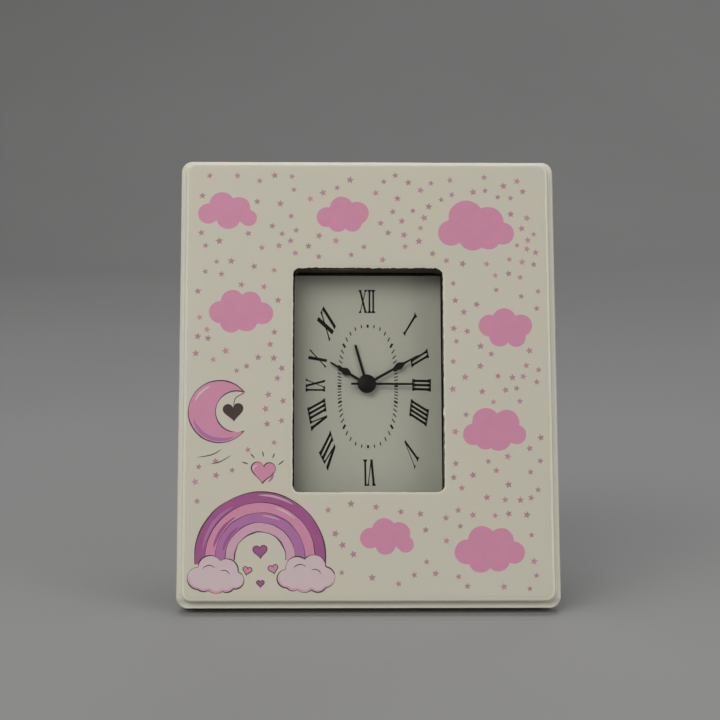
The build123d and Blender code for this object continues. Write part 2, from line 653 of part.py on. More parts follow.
with BuildPart() as buzzer_disc:
    with BuildSketch(at(31.6, CX + BUZZER_AT[0], CV + BUZZER_AT[1])):
        Circle(8.4)
    extrude(amount=0.2)
    with BuildSketch(at(31.4, CX + BUZZER_AT[0], CV + BUZZER_AT[1])):
        Circle(6.2)
    extrude(amount=0.15)
buzzer_disc.part.label = "buzzer_disc"
export_step(buzzer_disc.part, "parts/buzzer_disc.step")

with BuildPart() as alarm_contact:
    with BuildSketch(at(20.8, CX + 10.75, CV - 0.6)):
        Rectangle(12.9, 2.0)
    extrude(amount=0.2)
    with BuildSketch(at(22.0, CX + 17.1, CV - 0.6)):
        Rectangle(0.2, 2.0)
    extrude(amount=1.2)
alarm_contact.part.label = "alarm_contact"
export_step(alarm_contact.part, "parts/alarm_contact.step")

# ------------------------------------------------------------- battery, size AA
BAT_Q, BAT_D, BAT_R = -18.9, 25.3, 7.1


def along_x(x):
    """Plane square to X with local x up the frame and local y the depth."""
    return side(x)


with BuildPart() as battery:
    with BuildSketch(side(24.6)):
        with Locations((CV + BAT_Q, BAT_D)):
            Circle(BAT_R)
    extrude(amount=49.2)
    fillet(battery.edges().filter_by(GeomType.CIRCLE), radius=0.5)
    with BuildSketch(side(25.8)):
        with Locations((CV + BAT_Q, BAT_D)):
            Circle(2.7)
    extrude(amount=1.2)
battery.part.label = "battery"
export_step(battery.part, "parts/battery.step")

with BuildPart() as battery_contact_positive:
    with BuildSketch(side(26.3)):
        with Locations((CV + BAT_Q, 25.0)):
            RectangleRounded(10.0, 13.0, 0.5)
    extrude(amount=0.3)
    with BuildSketch(side(26.0)):
        with Locations((CV + BAT_Q, BAT_D)):
            Circle(2.2)
    extrude(amount=0.2)
battery_contact_positive.part.label = "battery_contact_positive"
export_step(battery_contact_positive.part, "parts/battery_contact_positive.step")

with BuildPart() as battery_contact_negative:
    with BuildSketch(side(-26.0)):
        with Locations((CV + BAT_Q, 25.0)):
            RectangleRounded(10.0, 13.0, 0.5)
    extrude(amount=0.3)
    for _i, _r0 in enumerate((4.2, 3.4, 2.6)):
        with BuildSketch(side(-25.6 + 0.4 * _i + 0.0)):
            with Locations((CV + BAT_Q, BAT_D)):
                Circle(_r0)
                Circle(_r0 - 1.0, mode=Mode.SUBTRACT)
        extrude(amount=0.4)
battery_contact_negative.part.label = "battery_contact_negative"
export_step(battery_contact_negative.part, "parts/battery_contact_negative.step")

# ------------------------------------------------------------- rear controls
KNOB_FRONT, KNOB_BACK = 34.8, 39.3


def knurl(radius, count, groove):
    pts = []
    for k in range(count):
        for h, rr in ((-0.30, radius), (-0.12, radius), (0.0, radius - groove), (0.12, radius)):
            a = radians((k + h) * 360.0 / count)
            pts.append((rr * cos(a), rr * sin(a)))
    return pts


PH_SET = in_mesh(36, PH_MINUTE, 10, 90)
with BuildPart() as time_set_knob:
    with BuildSketch(at(KNOB_FRONT, CX + SETKNOB_AT[0], CV + SETKNOB_AT[1])):
        Circle(1.0)
    extrude(amount=KNOB_FRONT - BASE_BACK)
    with BuildSketch(at(BASE_BACK, CX + SETKNOB_AT[0], CV + SETKNOB_AT[1])):
        Circle(0.7)
    extrude(amount=0.9)
    with BuildSketch(at(LV_C[1], CX + SETKNOB_AT[0], CV + SETKNOB_AT[1])):
        Polygon(*gear_outline(10, M_CANNON, PH_SET))
    extrude(amount=LV_C[1] - LV_C[0])
    with BuildSketch(at(KNOB_BACK, CX + SETKNOB_AT[0], CV + SETKNOB_AT[1])):
        Polygon(*knurl(5.8, 28, 0.35))
    extrude(amount=KNOB_BACK - KNOB_FRONT)
    # raised arrow-free grip ridge across the end of the knob
    with BuildSketch(at(KNOB_BACK + 0.6, CX + SETKNOB_AT[0], CV + SETKNOB_AT[1])):
        Circle(3.6)
        Circle(2.6, mode=Mode.SUBTRACT)
    extrude(amount=0.6)
time_set_knob.part.label = "time_set_knob"
export_step(time_set_knob.part, "parts/time_set_knob.step")

PH_ALSET = in_mesh(48, 0, 12, ALARM_DIR)
with BuildPart() as alarm_set_knob:
    with BuildSketch(at(KNOB_FRONT, CX + ALARMKNOB_AT[0], CV + ALARMKNOB_AT[1])):
        Circle(1.0)
    extrude(amount=KNOB_FRONT - BASE_BACK)
    with BuildSketch(at(BASE_BACK, CX + ALARMKNOB_AT[0], CV + ALARMKNOB_AT[1])):
        Circle(0.7)
    extrude(amount=0.9)
    with BuildSketch(at(LV_A[1], CX + ALARMKNOB_AT[0], CV + ALARMKNOB_AT[1])):
        Polygon(*gear_outline(12, M_ALARM, PH_ALSET))
    extrude(amount=LV_A[1] - LV_A[0])
    with BuildSketch(at(KNOB_BACK, CX + ALARMKNOB_AT[0], CV + ALARMKNOB_AT[1])):
        Polygon(*knurl(5.8, 28, 0.35))
    extrude(amount=KNOB_BACK - KNOB_FRONT)
    with BuildSketch(at(KNOB_BACK + 0.6, CX + ALARMKNOB_AT[0], CV + ALARMKNOB_AT[1])):
        Circle(3.6)
        Circle(2.6, mode=Mode.SUBTRACT)
    extrude(amount=0.6)
alarm_set_knob.part.label = "alarm_set_knob"
export_step(alarm_set_knob.part, "parts/alarm_set_knob.step")

with BuildPart() as alarm_switch:
    # foot inside the cover, neck through the slot, ribbed thumb piece outside
    with BuildSketch(at(COVER_IN - 0.2, CX + SWITCH_AT[0], CV + SWITCH_AT[1])):
        Rectangle(5.0, 4.0)
    extrude(amount=1.0)
    with BuildSketch(at(COVER_IN - 1.2, CX + SWITCH_AT[0], CV + SWITCH_AT[1])):
        Rectangle(1.4, 1.8)
    extrude(amount=COVER_IN - 1.2 - 23.3)
    with BuildSketch(at(COVER_OUT + 0.2, CX + SWITCH_AT[0], CV + SWITCH_AT[1])):
        SlotOverall(3.0, 2.0, rotation=90)
    extrude(amount=COVER_OUT + 0.2 - COVER_IN + 0.2)
    with BuildSketch(at(COVER_OUT + 2.0, CX + SWITCH_AT[0], CV + SWITCH_AT[1])):
        RectangleRounded(5.0, 4.6, 0.7)
        with Locations((0, -1.2), (0, 0), (0, 1.2)):
            Rectangle(5.2, 0.4, mode=Mode.SUBTRACT)
    extrude(amount=0.5)
    with BuildSketch(at(COVER_OUT + 1.5, CX + SWITCH_AT[0], CV + SWITCH_AT[1])):
        RectangleRounded(5.0, 4.6, 0.7)
    extrude(amount=1.3)
alarm_switch.part.label = "alarm_switch"
export_step(alarm_switch.part, "parts/alarm_switch.step")

# =================================================================== hands
def hand_outline(samples, angle):
    """Mirror (distance, half width) samples about the hand's line and turn it clockwise."""
    pts = [(w, s) for s, w in samples] + [(-w, s) for s, w in reversed(samples)]
    a = radians(angle)
    return [(x * cos(a) + y * sin(a), -x * sin(a) + y * cos(a)) for x, y in pts]


HOUR_ANGLE, MINUTE_ANGLE, SECOND_ANGLE, ALARM_ANGLE = 301.5, 60.6, 90.2, 344.2

HOUR_SHAPE = [(0.0, 0.58), (7.6, 0.50), (8.3, 0.87), (9.0, 1.30), (9.9, 1.54), (10.7, 1.38),
              (11.5, 0.88), (12.3, 0.52), (13.2, 0.43), (16.8, 0.36), (17.3, 0.18)]
MINUTE_SHAPE = [(0.0, 0.56), (12.6, 0.49), (13.3, 0.82), (14.0, 1.24), (14.9, 1.48), (15.7, 1.32),
                (16.6, 0.82), (17.4, 0.48), (18.4, 0.38), (23.5, 0.28), (24.0, 0.14)]
SECOND_SHAPE = [(-6.4, 0.43), (0.0, 0.50), (18.0, 0.40), (18.4, 0.26)]
ALARM_SHAPE = [(0.0, 0.55), (16.3, 0.50), (16.9, 0.38)]

with BuildPart() as hour_hand:
    with BuildSketch(at(13.15, CX, CV)):
        Polygon(*hand_outline(HOUR_SHAPE, HOUR_ANGLE))
        Circle(2.9)
        Circle(PIPE_HR_OUT + 0.01, mode=Mode.SUBTRACT)
    extrude(amount=0.35)
hour_hand.part.label = "hour_hand"
export_step(hour_hand.part, "parts/hour_hand.step")

with BuildPart() as minute_hand:
    with BuildSketch(at(12.45, CX, CV)):
        Polygon(*hand_outline(MINUTE_SHAPE, MINUTE_ANGLE))
        Circle(2.6)
        Circle(PIPE_MIN_OUT + 0.01, mode=Mode.SUBTRACT)
    extrude(amount=0.35)
minute_hand.part.label = "minute_hand"
export_step(minute_hand.part, "parts/minute_hand.step")

with BuildPart() as second_hand:
    with BuildSketch(at(11.75, CX, CV)):
        Polygon(*hand_outline(SECOND_SHAPE, SECOND_ANGLE))
        Circle(2.0)
        Circle(0.51, mode=Mode.SUBTRACT)
    extrude(amount=0.25)
second_hand.part.label = "second_hand"
export_step(second_hand.part, "parts/second_hand.step")

with BuildPart() as hand_cap:
    with BuildSketch(side(CX)):
        with BuildLine():
            _arc = ThreePointArc((CV, 10.65), (CV + 2.4, 10.85), (CV + 3.78, 11.35))
            Polyline((CV + 3.78, 11.35), (CV + 3.78, 11.5), (CV, 11.5), (CV, 10.65))
        make_face()
    revolve(axis=Axis(point(CX, CV, 0), point(CX, CV, 1) - point(CX, CV, 0)), revolution_arc=360)
    with BuildSketch(at(11.5, CX, CV)):
        Circle(0.51)
    extrude(amount=0.35, mode=Mode.SUBTRACT)
hand_cap.part.label = "hand_cap"
export_step(hand_cap.part, "parts/hand_cap.step")

with BuildPart() as alarm_hand:
    with BuildSketch(at(13.9, CX, CV)):
        Polygon(*hand_outline(ALARM_SHAPE, ALARM_ANGLE))
        Circle(3.4)
        Circle(PIPE_AL_OUT + 0.01, mode=Mode.SUBTRACT)
    extrude(amount=0.35)
alarm_hand.part.label = "alarm_hand"
export_step(alarm_hand.part, "parts/alarm_hand.step")

# =================================================================== stand
leg = Vector(0, sin(radians(STAND_OPEN - LEAN)), -cos(radians(STAND_OPEN - LEAN)))
pivot = point(0, PIVOT_V, PIVOT_D)
foot = pivot + leg * STAND_LEN

BEND = 3.6
PIN_END = STAND_X + 9.2
_path = [
    Vector(-PIN_END, pivot.Y, pivot.Z),
    Vector(-STAND_X, pivot.Y, pivot.Z),
    Vector(-STAND_X, foot.Y, foot.Z),
    Vector(STAND_X, foot.Y, foot.Z),
    Vector(STAND_X, pivot.Y, pivot.Z),
    Vector(PIN_END, pivot.Y, pivot.Z),
]
with BuildPart() as stand_wire:
    with BuildLine() as _wire:
        FilletPolyline(*_path, radius=[BEND, 6.0, 6.0, BEND])
    with BuildSketch(Plane(origin=_path[0], x_dir=(0, 1, 0), z_dir=(1, 0, 0))):
        Circle(WIRE_R)
    sweep(path=_wire.line)
stand_wire.part.label = "stand_wire"
export_step(stand_wire.part, "parts/stand_wire.step")

with BuildPart() as stand_sleeve:
    with BuildSketch(Plane(origin=(-32, foot.Y, foot.Z), x_dir=(0, 1, 0), z_dir=(1, 0, 0))):
        Circle(SLEEVE_R)
        Circle(WIRE_R + 0.01, mode=Mode.SUBTRACT)
    extrude(amount=64)
stand_sleeve.part.label = "stand_sleeve"
export_step(stand_sleeve.part, "parts/stand_sleeve.step")

# bracket: cheek with the pivot bore, screw flange, and a stop arm behind the leg
_sd = radians(STAND_OPEN)
_dn = (-cos(_sd), sin(_sd))            # along the open leg, in (height, depth)
_nn = (sin(_sd), cos(_sd))             # square to it, away from the frame


def stop_point(s, n):
    return (PIVOT_V + _dn[0] * s + _nn[0] * n, PIVOT_D + _dn[1] * s + _nn[1] * n)


CHEEK_IN, CHEEK_OUT = STAND_X + 4.2, STAND_X + 9.0
STOP_GAP = WIRE_R + 0.03
with BuildPart() as stand_brackets:
    for _s in (-1, 1):
        _x_out = _s * CHEEK_OUT
        with BuildSketch(side(_x_out if _s > 0 else -CHEEK_IN)):
            Polygon(
                (PIVOT_V - 13, BOARD_BACK), (PIVOT_V + 6.5, BOARD_BACK), (PIVOT_V + 6.5, 15.5),
                (PIVOT_V + 3.5, 18.6), stop_point(-1.0, STOP_GAP + 3.2), stop_point(13.0, STOP_GAP + 3.2),
                stop_point(13.0, STOP_GAP), (PIVOT_V - 13, 14.0),
            )
        extrude(amount=CHEEK_OUT - CHEEK_IN)
        # stop arm
        with BuildSketch(side(_s * CHEEK_IN if _s > 0 else -(STAND_X - 2.4))):
            Polygon(
                stop_point(5.0, STOP_GAP), stop_point(13.0, STOP_GAP),
                stop_point(13.0, STOP_GAP + 3.2), stop_point(5.0, STOP_GAP + 3.2),
            )
        extrude(amount=CHEEK_IN - STAND_X + 2.4)
        # screw flange
        with BuildSketch(at(BOARD_BACK + 2.0, _s * (CHEEK_OUT + 4.0), PIVOT_V - 2.0)):
            RectangleRounded(9.6, 21.0, 2.0)
        extrude(amount=2.0)
        with BuildSketch(at(BOARD_BACK + 2.0)):
            with Locations((_s * 58.5, PIVOT_V - 8.5), (_s * 58.5, PIVOT_V + 4.5)):
                Circle(1.3)
        extrude(amount=2.0, mode=Mode.SUBTRACT)
        # pivot bore through the cheek
        with BuildSketch(side(_s * (CHEEK_OUT + 1.5) if _s > 0 else -(CHEEK_IN - 1))):
            with Locations((PIVOT_V, PIVOT_D)):
                Circle(WIRE_R + 0.06)
        extrude(amount=CHEEK_OUT - CHEEK_IN + 2.5, mode=Mode.SUBTRACT)
stand_brackets.part.label = "stand_brackets"
export_step(stand_brackets.part, "parts/stand_brackets.step")


# =================================================================== screws
def screw_spots(spots):
    return [(CX + x, CV + v) for x, v in spots]


with BuildPart() as case_screws:
    with BuildSketch(at(BOARD_BACK + 2.9)):
        with Locations(*EAR_AT):
            Circle(2.2)
    extrude(amount=1.4)
    with BuildSketch(at(BOARD_BACK + 1.6)):
        with Locations(*EAR_AT):
            Circle(1.0)
    extrude(amount=7.0)
    with BuildSketch(at(BOARD_BACK + 2.9)):
        with Locations(*EAR_AT):
            Rectangle(2.6, 0.5)
            Rectangle(0.5, 2.6)
    extrude(amount=0.7, mode=Mode.SUBTRACT)
case_screws.part.label = "case_screws"
export_step(case_screws.part, "parts/case_screws.step")

with BuildPart() as bracket_screws:
    with BuildSketch(at(BOARD_BACK + 3.3)):
        with Locations(*BRACKET_SCREWS_AT):
            Circle(2.2)
    extrude(amount=1.3)
    with BuildSketch(at(BOARD_BACK + 2.1)):
        with Locations(*BRACKET_SCREWS_AT):
            Circle(1.0)
    extrude(amount=7.5)
    with BuildSketch(at(BOARD_BACK + 3.3)):
        with Locations(*BRACKET_SCREWS_AT):
            Rectangle(2.6, 0.5)
            Rectangle(0.5, 2.6)
    extrude(amount=0.7, mode=Mode.SUBTRACT)
bracket_screws.part.label = "bracket_screws"
export_step(bracket_screws.part, "parts/bracket_screws.step")

with BuildPart() as movement_screws:
    for _p in CORNER_POSTS:
        with BuildSketch(at(DIAL_FRONT + DIAL_T + 0.02, CX + _p[0], CV + _p[1])):
            Circle(1.84)
        with BuildSketch(at(DIAL_FRONT + DIAL_T + 0.88, CX + _p[0], CV + _p[1])):
            Circle(0.9)
        loft()
        with BuildSketch(at(19.5, CX + _p[0], CV + _p[1])):
            Circle(0.9)
        extrude(amount=19.5 - DIAL_FRONT - DIAL_T - 0.5)
movement_screws.part.label = "movement_screws"
export_step(movement_screws.part, "parts/movement_screws.step")

with BuildPart() as rear_case_screws:
    with BuildSketch(at(34.4, CX, CV)):
        with Locations(*CORNER_POSTS):
            Circle(1.8)
    extrude(amount=1.15)
    with BuildSketch(at(33.3, CX, CV)):
        with Locations(*CORNER_POSTS):
            Circle(0.9)
    extrude(amount=33.3 - 20.5)
    with BuildSketch(at(34.4, CX, CV)):
        with Locations(*CORNER_POSTS):
            Rectangle(2.2, 0.45)
            Rectangle(0.45, 2.2)
    extrude(amount=0.6, mode=Mode.SUBTRACT)
rear_case_screws.part.label = "rear_case_screws"
export_step(rear_case_screws.part, "parts/rear_case_screws.step")

with BuildPart() as bridge_screws:
    with BuildSketch(at(BRIDGE[1] + 0.9, CX, CV)):
        with Locations(*POST_HIGH):
            Circle(1.2)
    extrude(amount=0.9)
    with BuildSketch(at(BRIDGE[1], CX, CV)):
        with Locations(*POST_HIGH):
            Circle(0.6)
    extrude(amount=4.5)
bridge_screws.part.label = "bridge_screws"
export_step(bridge_screws.part, "parts/bridge_screws.step")

# ------------------------------------------------------------- figures used elsewhere
print("y0 %.5f z0 %.5f lean %.3f open %.4f" % (y0, z0, LEAN, STAND_OPEN))
print("pivot", [round(c, 4) for c in pivot], "foot", [round(c, 4) for c in foot])
for _name, _p in (("centre", (0, 0)), ("minute", MINUTE_AT), ("set", SETKNOB_AT), ("alarm", ALARMKNOB_AT),
                  ("third", THIRD_AT), ("inter", INTER_AT), ("rotor", ROTOR_AT)):
    _q = point(_p[0], CV + _p[1], 30.0)
    print("axis", _name, [round(c, 5) for c in _q])
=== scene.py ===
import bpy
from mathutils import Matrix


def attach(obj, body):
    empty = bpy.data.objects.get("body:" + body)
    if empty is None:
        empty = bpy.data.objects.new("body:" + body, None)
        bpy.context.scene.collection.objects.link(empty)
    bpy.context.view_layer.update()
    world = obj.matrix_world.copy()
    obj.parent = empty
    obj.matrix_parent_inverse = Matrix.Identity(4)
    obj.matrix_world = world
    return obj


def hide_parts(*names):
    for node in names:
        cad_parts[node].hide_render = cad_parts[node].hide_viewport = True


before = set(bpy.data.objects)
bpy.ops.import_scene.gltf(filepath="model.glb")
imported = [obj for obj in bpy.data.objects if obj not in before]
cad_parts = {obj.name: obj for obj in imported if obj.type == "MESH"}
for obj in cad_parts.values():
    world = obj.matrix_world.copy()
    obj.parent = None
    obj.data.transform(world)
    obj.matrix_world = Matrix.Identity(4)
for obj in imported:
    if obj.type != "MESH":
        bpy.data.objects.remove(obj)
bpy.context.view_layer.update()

import random
from math import sin, cos, tan, atan2, radians, degrees, pi, sqrt, hypot, exp

import bpy
import bmesh
from mathutils import Vector, Matrix, noise
from mathutils.geometry import tessellate_polygon

# ---------------------------------------------------------------------------
# The frame leans back.  x runs along it, v up its front face, w is the depth
# measured square to the front, all in millimetres; P() gives the place in the
# shared frame in metres.
# ---------------------------------------------------------------------------
LEAN = radians(17.45)
CA, SA = cos(LEAN), sin(LEAN)
Y0, Z0 = -40.79946, 3.42684
NORMAL = Vector((0.0, -CA, SA))
UPWARD = Vector((0.0, SA, CA))


def P(x, v, w):
    return Vector((x, Y0 + v * SA + w * CA, Z0 + v * CA - w * SA)) * 0.001


def noise1(x, v, size, seed):
    return noise.noise(Vector((x / size, v / size, seed * 7.31)))


# ===========================================================================
# materials
# ===========================================================================
class Tree:
    """A small builder for node materials."""

    def __init__(self, name):
        self.mat = bpy.data.materials.new(name)
        self.mat.use_nodes = True
        self.nt = self.mat.node_tree
        self.nt.nodes.clear()
        self.out = self.nt.nodes.new("ShaderNodeOutputMaterial")
        self.coord = self.nt.nodes.new("ShaderNodeTexCoord").outputs["Object"]

    def node(self, kind, **inputs):
        n = self.nt.nodes.new(kind)
        for k, val in inputs.items():
            key = k.replace("_", " ")
            if isinstance(val, bpy.types.NodeSocket):
                self.nt.links.new(val, n.inputs[key])
            else:
                n.inputs[key].default_value = val
        return n

    def scaled(self, scale):
        m = self.nt.nodes.new("ShaderNodeMapping")
        m.inputs["Scale"].default_value = scale
        self.nt.links.new(self.coord, m.inputs["Vector"])
        return m.outputs["Vector"]

    def framed(self, scale):
        """Coordinates along the frame: x, up the frame, depth."""
        m = self.nt.nodes.new("ShaderNodeMapping")
        m.vector_type = "POINT"
        m.inputs["Rotation"].default_value = (LEAN, 0.0, 0.0)
        self.nt.links.new(self.coord, m.inputs["Vector"])
        s = self.nt.nodes.new("ShaderNodeVectorMath")
        s.operation = "MULTIPLY"
        s.inputs[1].default_value = scale
        self.nt.links.new(m.outputs["Vector"], s.inputs[0])
        return s.outputs["Vector"]

    def noise(self, scale, detail=3.0, rough=0.55, vector=None, distort=0.0):
        n = self.node("ShaderNodeTexNoise", Scale=scale, Detail=detail, Roughness=rough, Distortion=distort)
        self.nt.links.new(vector if vector is not None else self.coord, n.inputs["Vector"])
        return n.outputs["Fac"]

    def voronoi(self, scale, feature="F1", vector=None, out="Distance"):
        n = self.nt.nodes.new("ShaderNodeTexVoronoi")
        n.feature = feature
        n.inputs["Scale"].default_value = scale
        self.nt.links.new(vector if vector is not None else self.coord, n.inputs["Vector"])
        return n.outputs[out]

    def wave(self, scale, vector=None, distort=0.0, detail=1.0, direction="X"):
        n = self.nt.nodes.new("ShaderNodeTexWave")
        n.bands_direction = direction
        n.inputs["Scale"].default_value = scale
        n.inputs["Distortion"].default_value = distort
        n.inputs["Detail"].default_value = detail
        self.nt.links.new(vector if vector is not None else self.coord, n.inputs["Vector"])
        return n.outputs["Fac"]

    def span(self, fac, lo, hi, to_lo=0.0, to_hi=1.0, smooth=False):
        n = self.nt.nodes.new("ShaderNodeMapRange")
        n.interpolation_type = "SMOOTHSTEP" if smooth else "LINEAR"
        n.inputs["From Min"].default_value = lo
        n.inputs["From Max"].default_value = hi
        n.inputs["To Min"].default_value = to_lo
        n.inputs["To Max"].default_value = to_hi
        self.nt.links.new(fac, n.inputs["Value"])
        return n.outputs["Result"]

    def mix(self, fac, a, b, blend="MIX"):
        n = self.nt.nodes.new("ShaderNodeMix")
        n.data_type = "RGBA"
        n.blend_type = blend
        for socket, val in ((n.inputs["Factor"], fac), (n.inputs[6], a), (n.inputs[7], b)):
            if isinstance(val, bpy.types.NodeSocket):
                self.nt.links.new(val, socket)
            elif isinstance(val, (int, float)):
                socket.default_value = val
            else:
                socket.default_value = (*val, 1.0)
        return n.outputs[2]

    def math(self, op, a, b=None):
        n = self.nt.nodes.new("ShaderNodeMath")
        n.operation = op
        for i, val in enumerate((a, b)):
            if val is None:
                continue
            if isinstance(val, bpy.types.NodeSocket):
                self.nt.links.new(val, n.inputs[i])
            else:
                n.inputs[i].default_value = val
        return n.outputs[0]

    def bumps(self, *layers):
        """layers: (height socket, strength, distance in metres)."""
        normal = None
        for height, strength, distance in layers:
            b = self.node("ShaderNodeBump", Strength=strength, Distance=distance)
            self.nt.links.new(height, b.inputs["Height"])
            if normal is not None:
                self.nt.links.new(normal, b.inputs["Normal"])
            normal = b.outputs["Normal"]
        return normal

    def depth(self):
        """Depth behind the front face in metres, from the surface's own place."""
        d = self.nt.nodes.new("ShaderNodeVectorMath")
        d.operation = "DOT_PRODUCT"
        d.inputs[1].default_value = (0.0, CA, -SA)
        self.nt.links.new(self.coord, d.inputs[0])
        return self.math("SUBTRACT", d.outputs["Value"], (Y0 * CA - Z0 * SA) * 0.001)

    def height(self):
        """Height up the front face in metres."""
        up = self.nt.nodes.new("ShaderNodeVectorMath")
        up.operation = "DOT_PRODUCT"
        up.inputs[1].default_value = (0.0, SA, CA)
        self.nt.links.new(self.coord, up.inputs[0])
        return self.math("SUBTRACT", up.outputs["Value"], (Y0 * SA + Z0 * CA) * 0.001)

    def surface(self, colour, rough=0.5, metallic=0.0, normal=None, ior=1.5, specular=None, **extra):
        p = self.nt.nodes.new("ShaderNodeBsdfPrincipled")
        for key, val in (("Base Color", colour), ("Roughness", rough), ("Metallic", metallic), ("Normal", normal)):
            if val is None:
                continue
            if isinstance(val, bpy.types.NodeSocket):
                self.nt.links.new(val, p.inputs[key])
            elif key == "Base Color":
                p.inputs[key].default_value = (*val, 1.0)
            else:
                p.inputs[key].default_value = val
        p.inputs["IOR"].default_value = ior
        if specular is not None:
            p.inputs["Specular IOR Level"].default_value = specular
        for k, val in extra.items():
            p.inputs[k.replace("_", " ")].default_value = val
        self.nt.links.new(p.outputs["BSDF"], self.out.inputs["Surface"])
        return self.mat


CREAM = (0.782, 0.740, 0.610)
CREAM_WARM = (0.776, 0.731, 0.595)
CREAM_COOL = (0.762, 0.731, 0.610)
PAINT = (1.145, 1.165, 1.205)
RAW_BROWN = (0.215, 0.135, 0.075)
# scorched cut of the board, made near-black partly as painted shade on the side and lower walls of the opening
CUT_BROWN = (0.009, 0.007, 0.005)


def paint_tints(t, gain=(1.0, 1.0, 1.0)):
    """The cream's colour, a little warmer and cooler from place to place."""
    broad = t.noise(28.0, 3.0, 0.5)
    fine = t.noise(420.0, 4.0, 0.6)
    warm, cool, mid = [tuple(min(x * g, 0.93) for x, g in zip(col, gain)) for col in (CREAM_WARM, CREAM_COOL, CREAM)]
    c = t.mix(t.span(broad, 0.35, 0.68), warm, cool)
    c = t.mix(t.span(fine, 0.30, 0.75, 0.0, 0.28), c, mid)
    return c


def cream_paint(name, strength=1.0, corner=None):
    """Brushed paint; corner gives the heights, depths and strength of a painted shade,
    a strip along the lower side darkened where light from above falls short."""
    t = Tree(name)
    c = paint_tints(t, PAINT)
    if corner:
        rise, fall, (d0, d1), shade = corner
        fac = t.math("MULTIPLY", t.span(t.height(), *fall), t.span(t.depth(), d0, d1))
        if rise:
            fac = t.math("MULTIPLY", fac, t.span(t.height(), *rise))
        # painted shade: the masked strip is multiplied by shade, standing in for the shadow that falls under the edge
        # above it
        c = t.mix(fac, c, t.mix(1.0, c, shade, "MULTIPLY"))
    specks = t.span(t.voronoi(230.0), 0.0, 0.045, 0.55, 0.0)
    c = t.mix(specks, c, (0.42, 0.36, 0.27))
    strokes = t.noise(1.0, 4.0, 0.6, t.framed((900.0, 70.0, 900.0)))
    peel = t.noise(760.0, 2.0, 0.5)
    rough = t.span(t.noise(140.0, 3.0), 0.30, 0.72, 0.33, 0.52)
    n = t.bumps((strokes, 0.22 * strength, 0.00012), (peel, 0.16 * strength, 0.00010))
    return t.surface(c, rough, 0.0, n, 1.48)


def cream_film(name):
    t = Tree(name)
    c = paint_tints(t)
    wave = t.noise(60.0, 2.0, 0.45)
    grain = t.noise(1500.0, 2.0, 0.5)
    rough = t.span(t.noise(110.0, 3.0), 0.30, 0.72, 0.36, 0.50)
    n = t.bumps((wave, 0.16, 0.0005), (grain, 0.10, 0.00005))
    return t.surface(c, rough, 0.0, n, 1.48)


def edge_of_cut(name):
    """Inner faces of the opening: cream at the rim, scorched fibreboard behind."""
    t = Tree(name)
    d = t.depth()
    wander = t.noise(520.0, 3.0, 0.6)
    edge = t.math("ADD", d, t.span(wander, 0.2, 0.8, -0.00045, 0.00045))
    fac = t.span(edge, 0.00004, 0.00036, 0.0, 1.0, smooth=True)
    fibres = t.noise(1.0, 5.0, 0.7, t.framed((1400.0, 1400.0, 350.0)))
    brown = t.mix(t.span(fibres, 0.3, 0.7), CUT_BROWN, (0.020, 0.014, 0.010))
    # painted light and shade: the underside of the top rail gets a lighter brown than the near-black side and lower
    # walls, though the cut is one scorched board all round; the difference stands in for how the light falls
    height = t.height()
    under = t.mix(t.span(fibres, 0.3, 0.7), (0.078, 0.060, 0.045), (0.130, 0.097, 0.070))
    brown = t.mix(t.span(height, 0.1335, 0.1345), brown, under)
    c = t.mix(fac, CREAM_COOL, brown)
    rough = t.span(fac, 0.0, 1.0, 0.60, 0.95)
    n = t.bumps((fibres, 0.5, 0.00025))
    return t.surface(c, rough, 0.0, n, 1.30, 0.0)


def raw_board(name):
    """Back of the board: pressed brown fibreboard, paint run over its rim."""
    t = Tree(name)
    grain = t.noise(1500.0, 5.0, 0.7)
    clumps = t.noise(160.0, 4.0, 0.65)
    flecks = t.voronoi(700.0)
    c = t.mix(t.span(clumps, 0.32, 0.68), (0.290, 0.198, 0.118), (0.365, 0.260, 0.163))
    c = t.mix(t.span(grain, 0.42, 0.75, 0.0, 0.6), c, (0.450, 0.340, 0.225))
    c = t.mix(t.span(flecks, 0.0, 0.16, 0.55, 0.0), c, (0.165, 0.108, 0.064))
    n = t.bumps((grain, 0.30, 0.00016), (clumps, 0.12, 0.0004))
    return t.surface(c, t.span(grain, 0.3, 0.7, 0.72, 0.90), 0.0, n, 1.45)


def painted_rim(name):
    """The rim where cream paint has run over onto the raw back."""
    t = Tree(name)
    d = t.depth()
    wander = t.noise(150.0, 4.0, 0.6)
    edge = t.math("ADD", d, t.span(wander, 0.2, 0.8, -0.0011, 0.0011))
    fac = t.span(edge, 0.01150, 0.01185, 0.0, 1.0, smooth=True)
    grain = t.noise(1500.0, 5.0, 0.7)
    brown = t.mix(t.span(grain, 0.42, 0.75, 0.0, 0.6), (0.320, 0.222, 0.134), (0.450, 0.340, 0.225))
    c = t.mix(fac, paint_tints(t, PAINT), brown)
    strokes = t.noise(1.0, 4.0, 0.6, t.framed((900.0, 70.0, 900.0)))
    n = t.bumps((strokes, 0.22, 0.00012), (grain, 0.10, 0.00012))
    return t.surface(c, t.span(fac, 0.0, 1.0, 0.44, 0.82), 0.0, n, 1.47)


def ink(name, a, b, rough=(0.36, 0.48), size=190.0, amount=1.0, specular=0.5):
    t = Tree(name)
    blot = t.noise(size, 4.0, 0.6)
    grain = t.noise(1900.0, 2.0, 0.5)
    c = t.mix(t.span(blot, 0.32, 0.68, 0.0, amount), a, b)
    c = t.mix(t.span(grain, 0.35, 0.75, 0.0, 0.14), c, (min(a[0] * 1.5, 0.9), min(a[1] * 1.5, 0.9), min(a[2] * 1.5, 0.9)))
    n = t.bumps((grain, 0.12, 0.00004))
    return t.surface(c, t.span(blot, 0.3, 0.7, rough[0], rough[1]), 0.0, n, 1.48, specular)


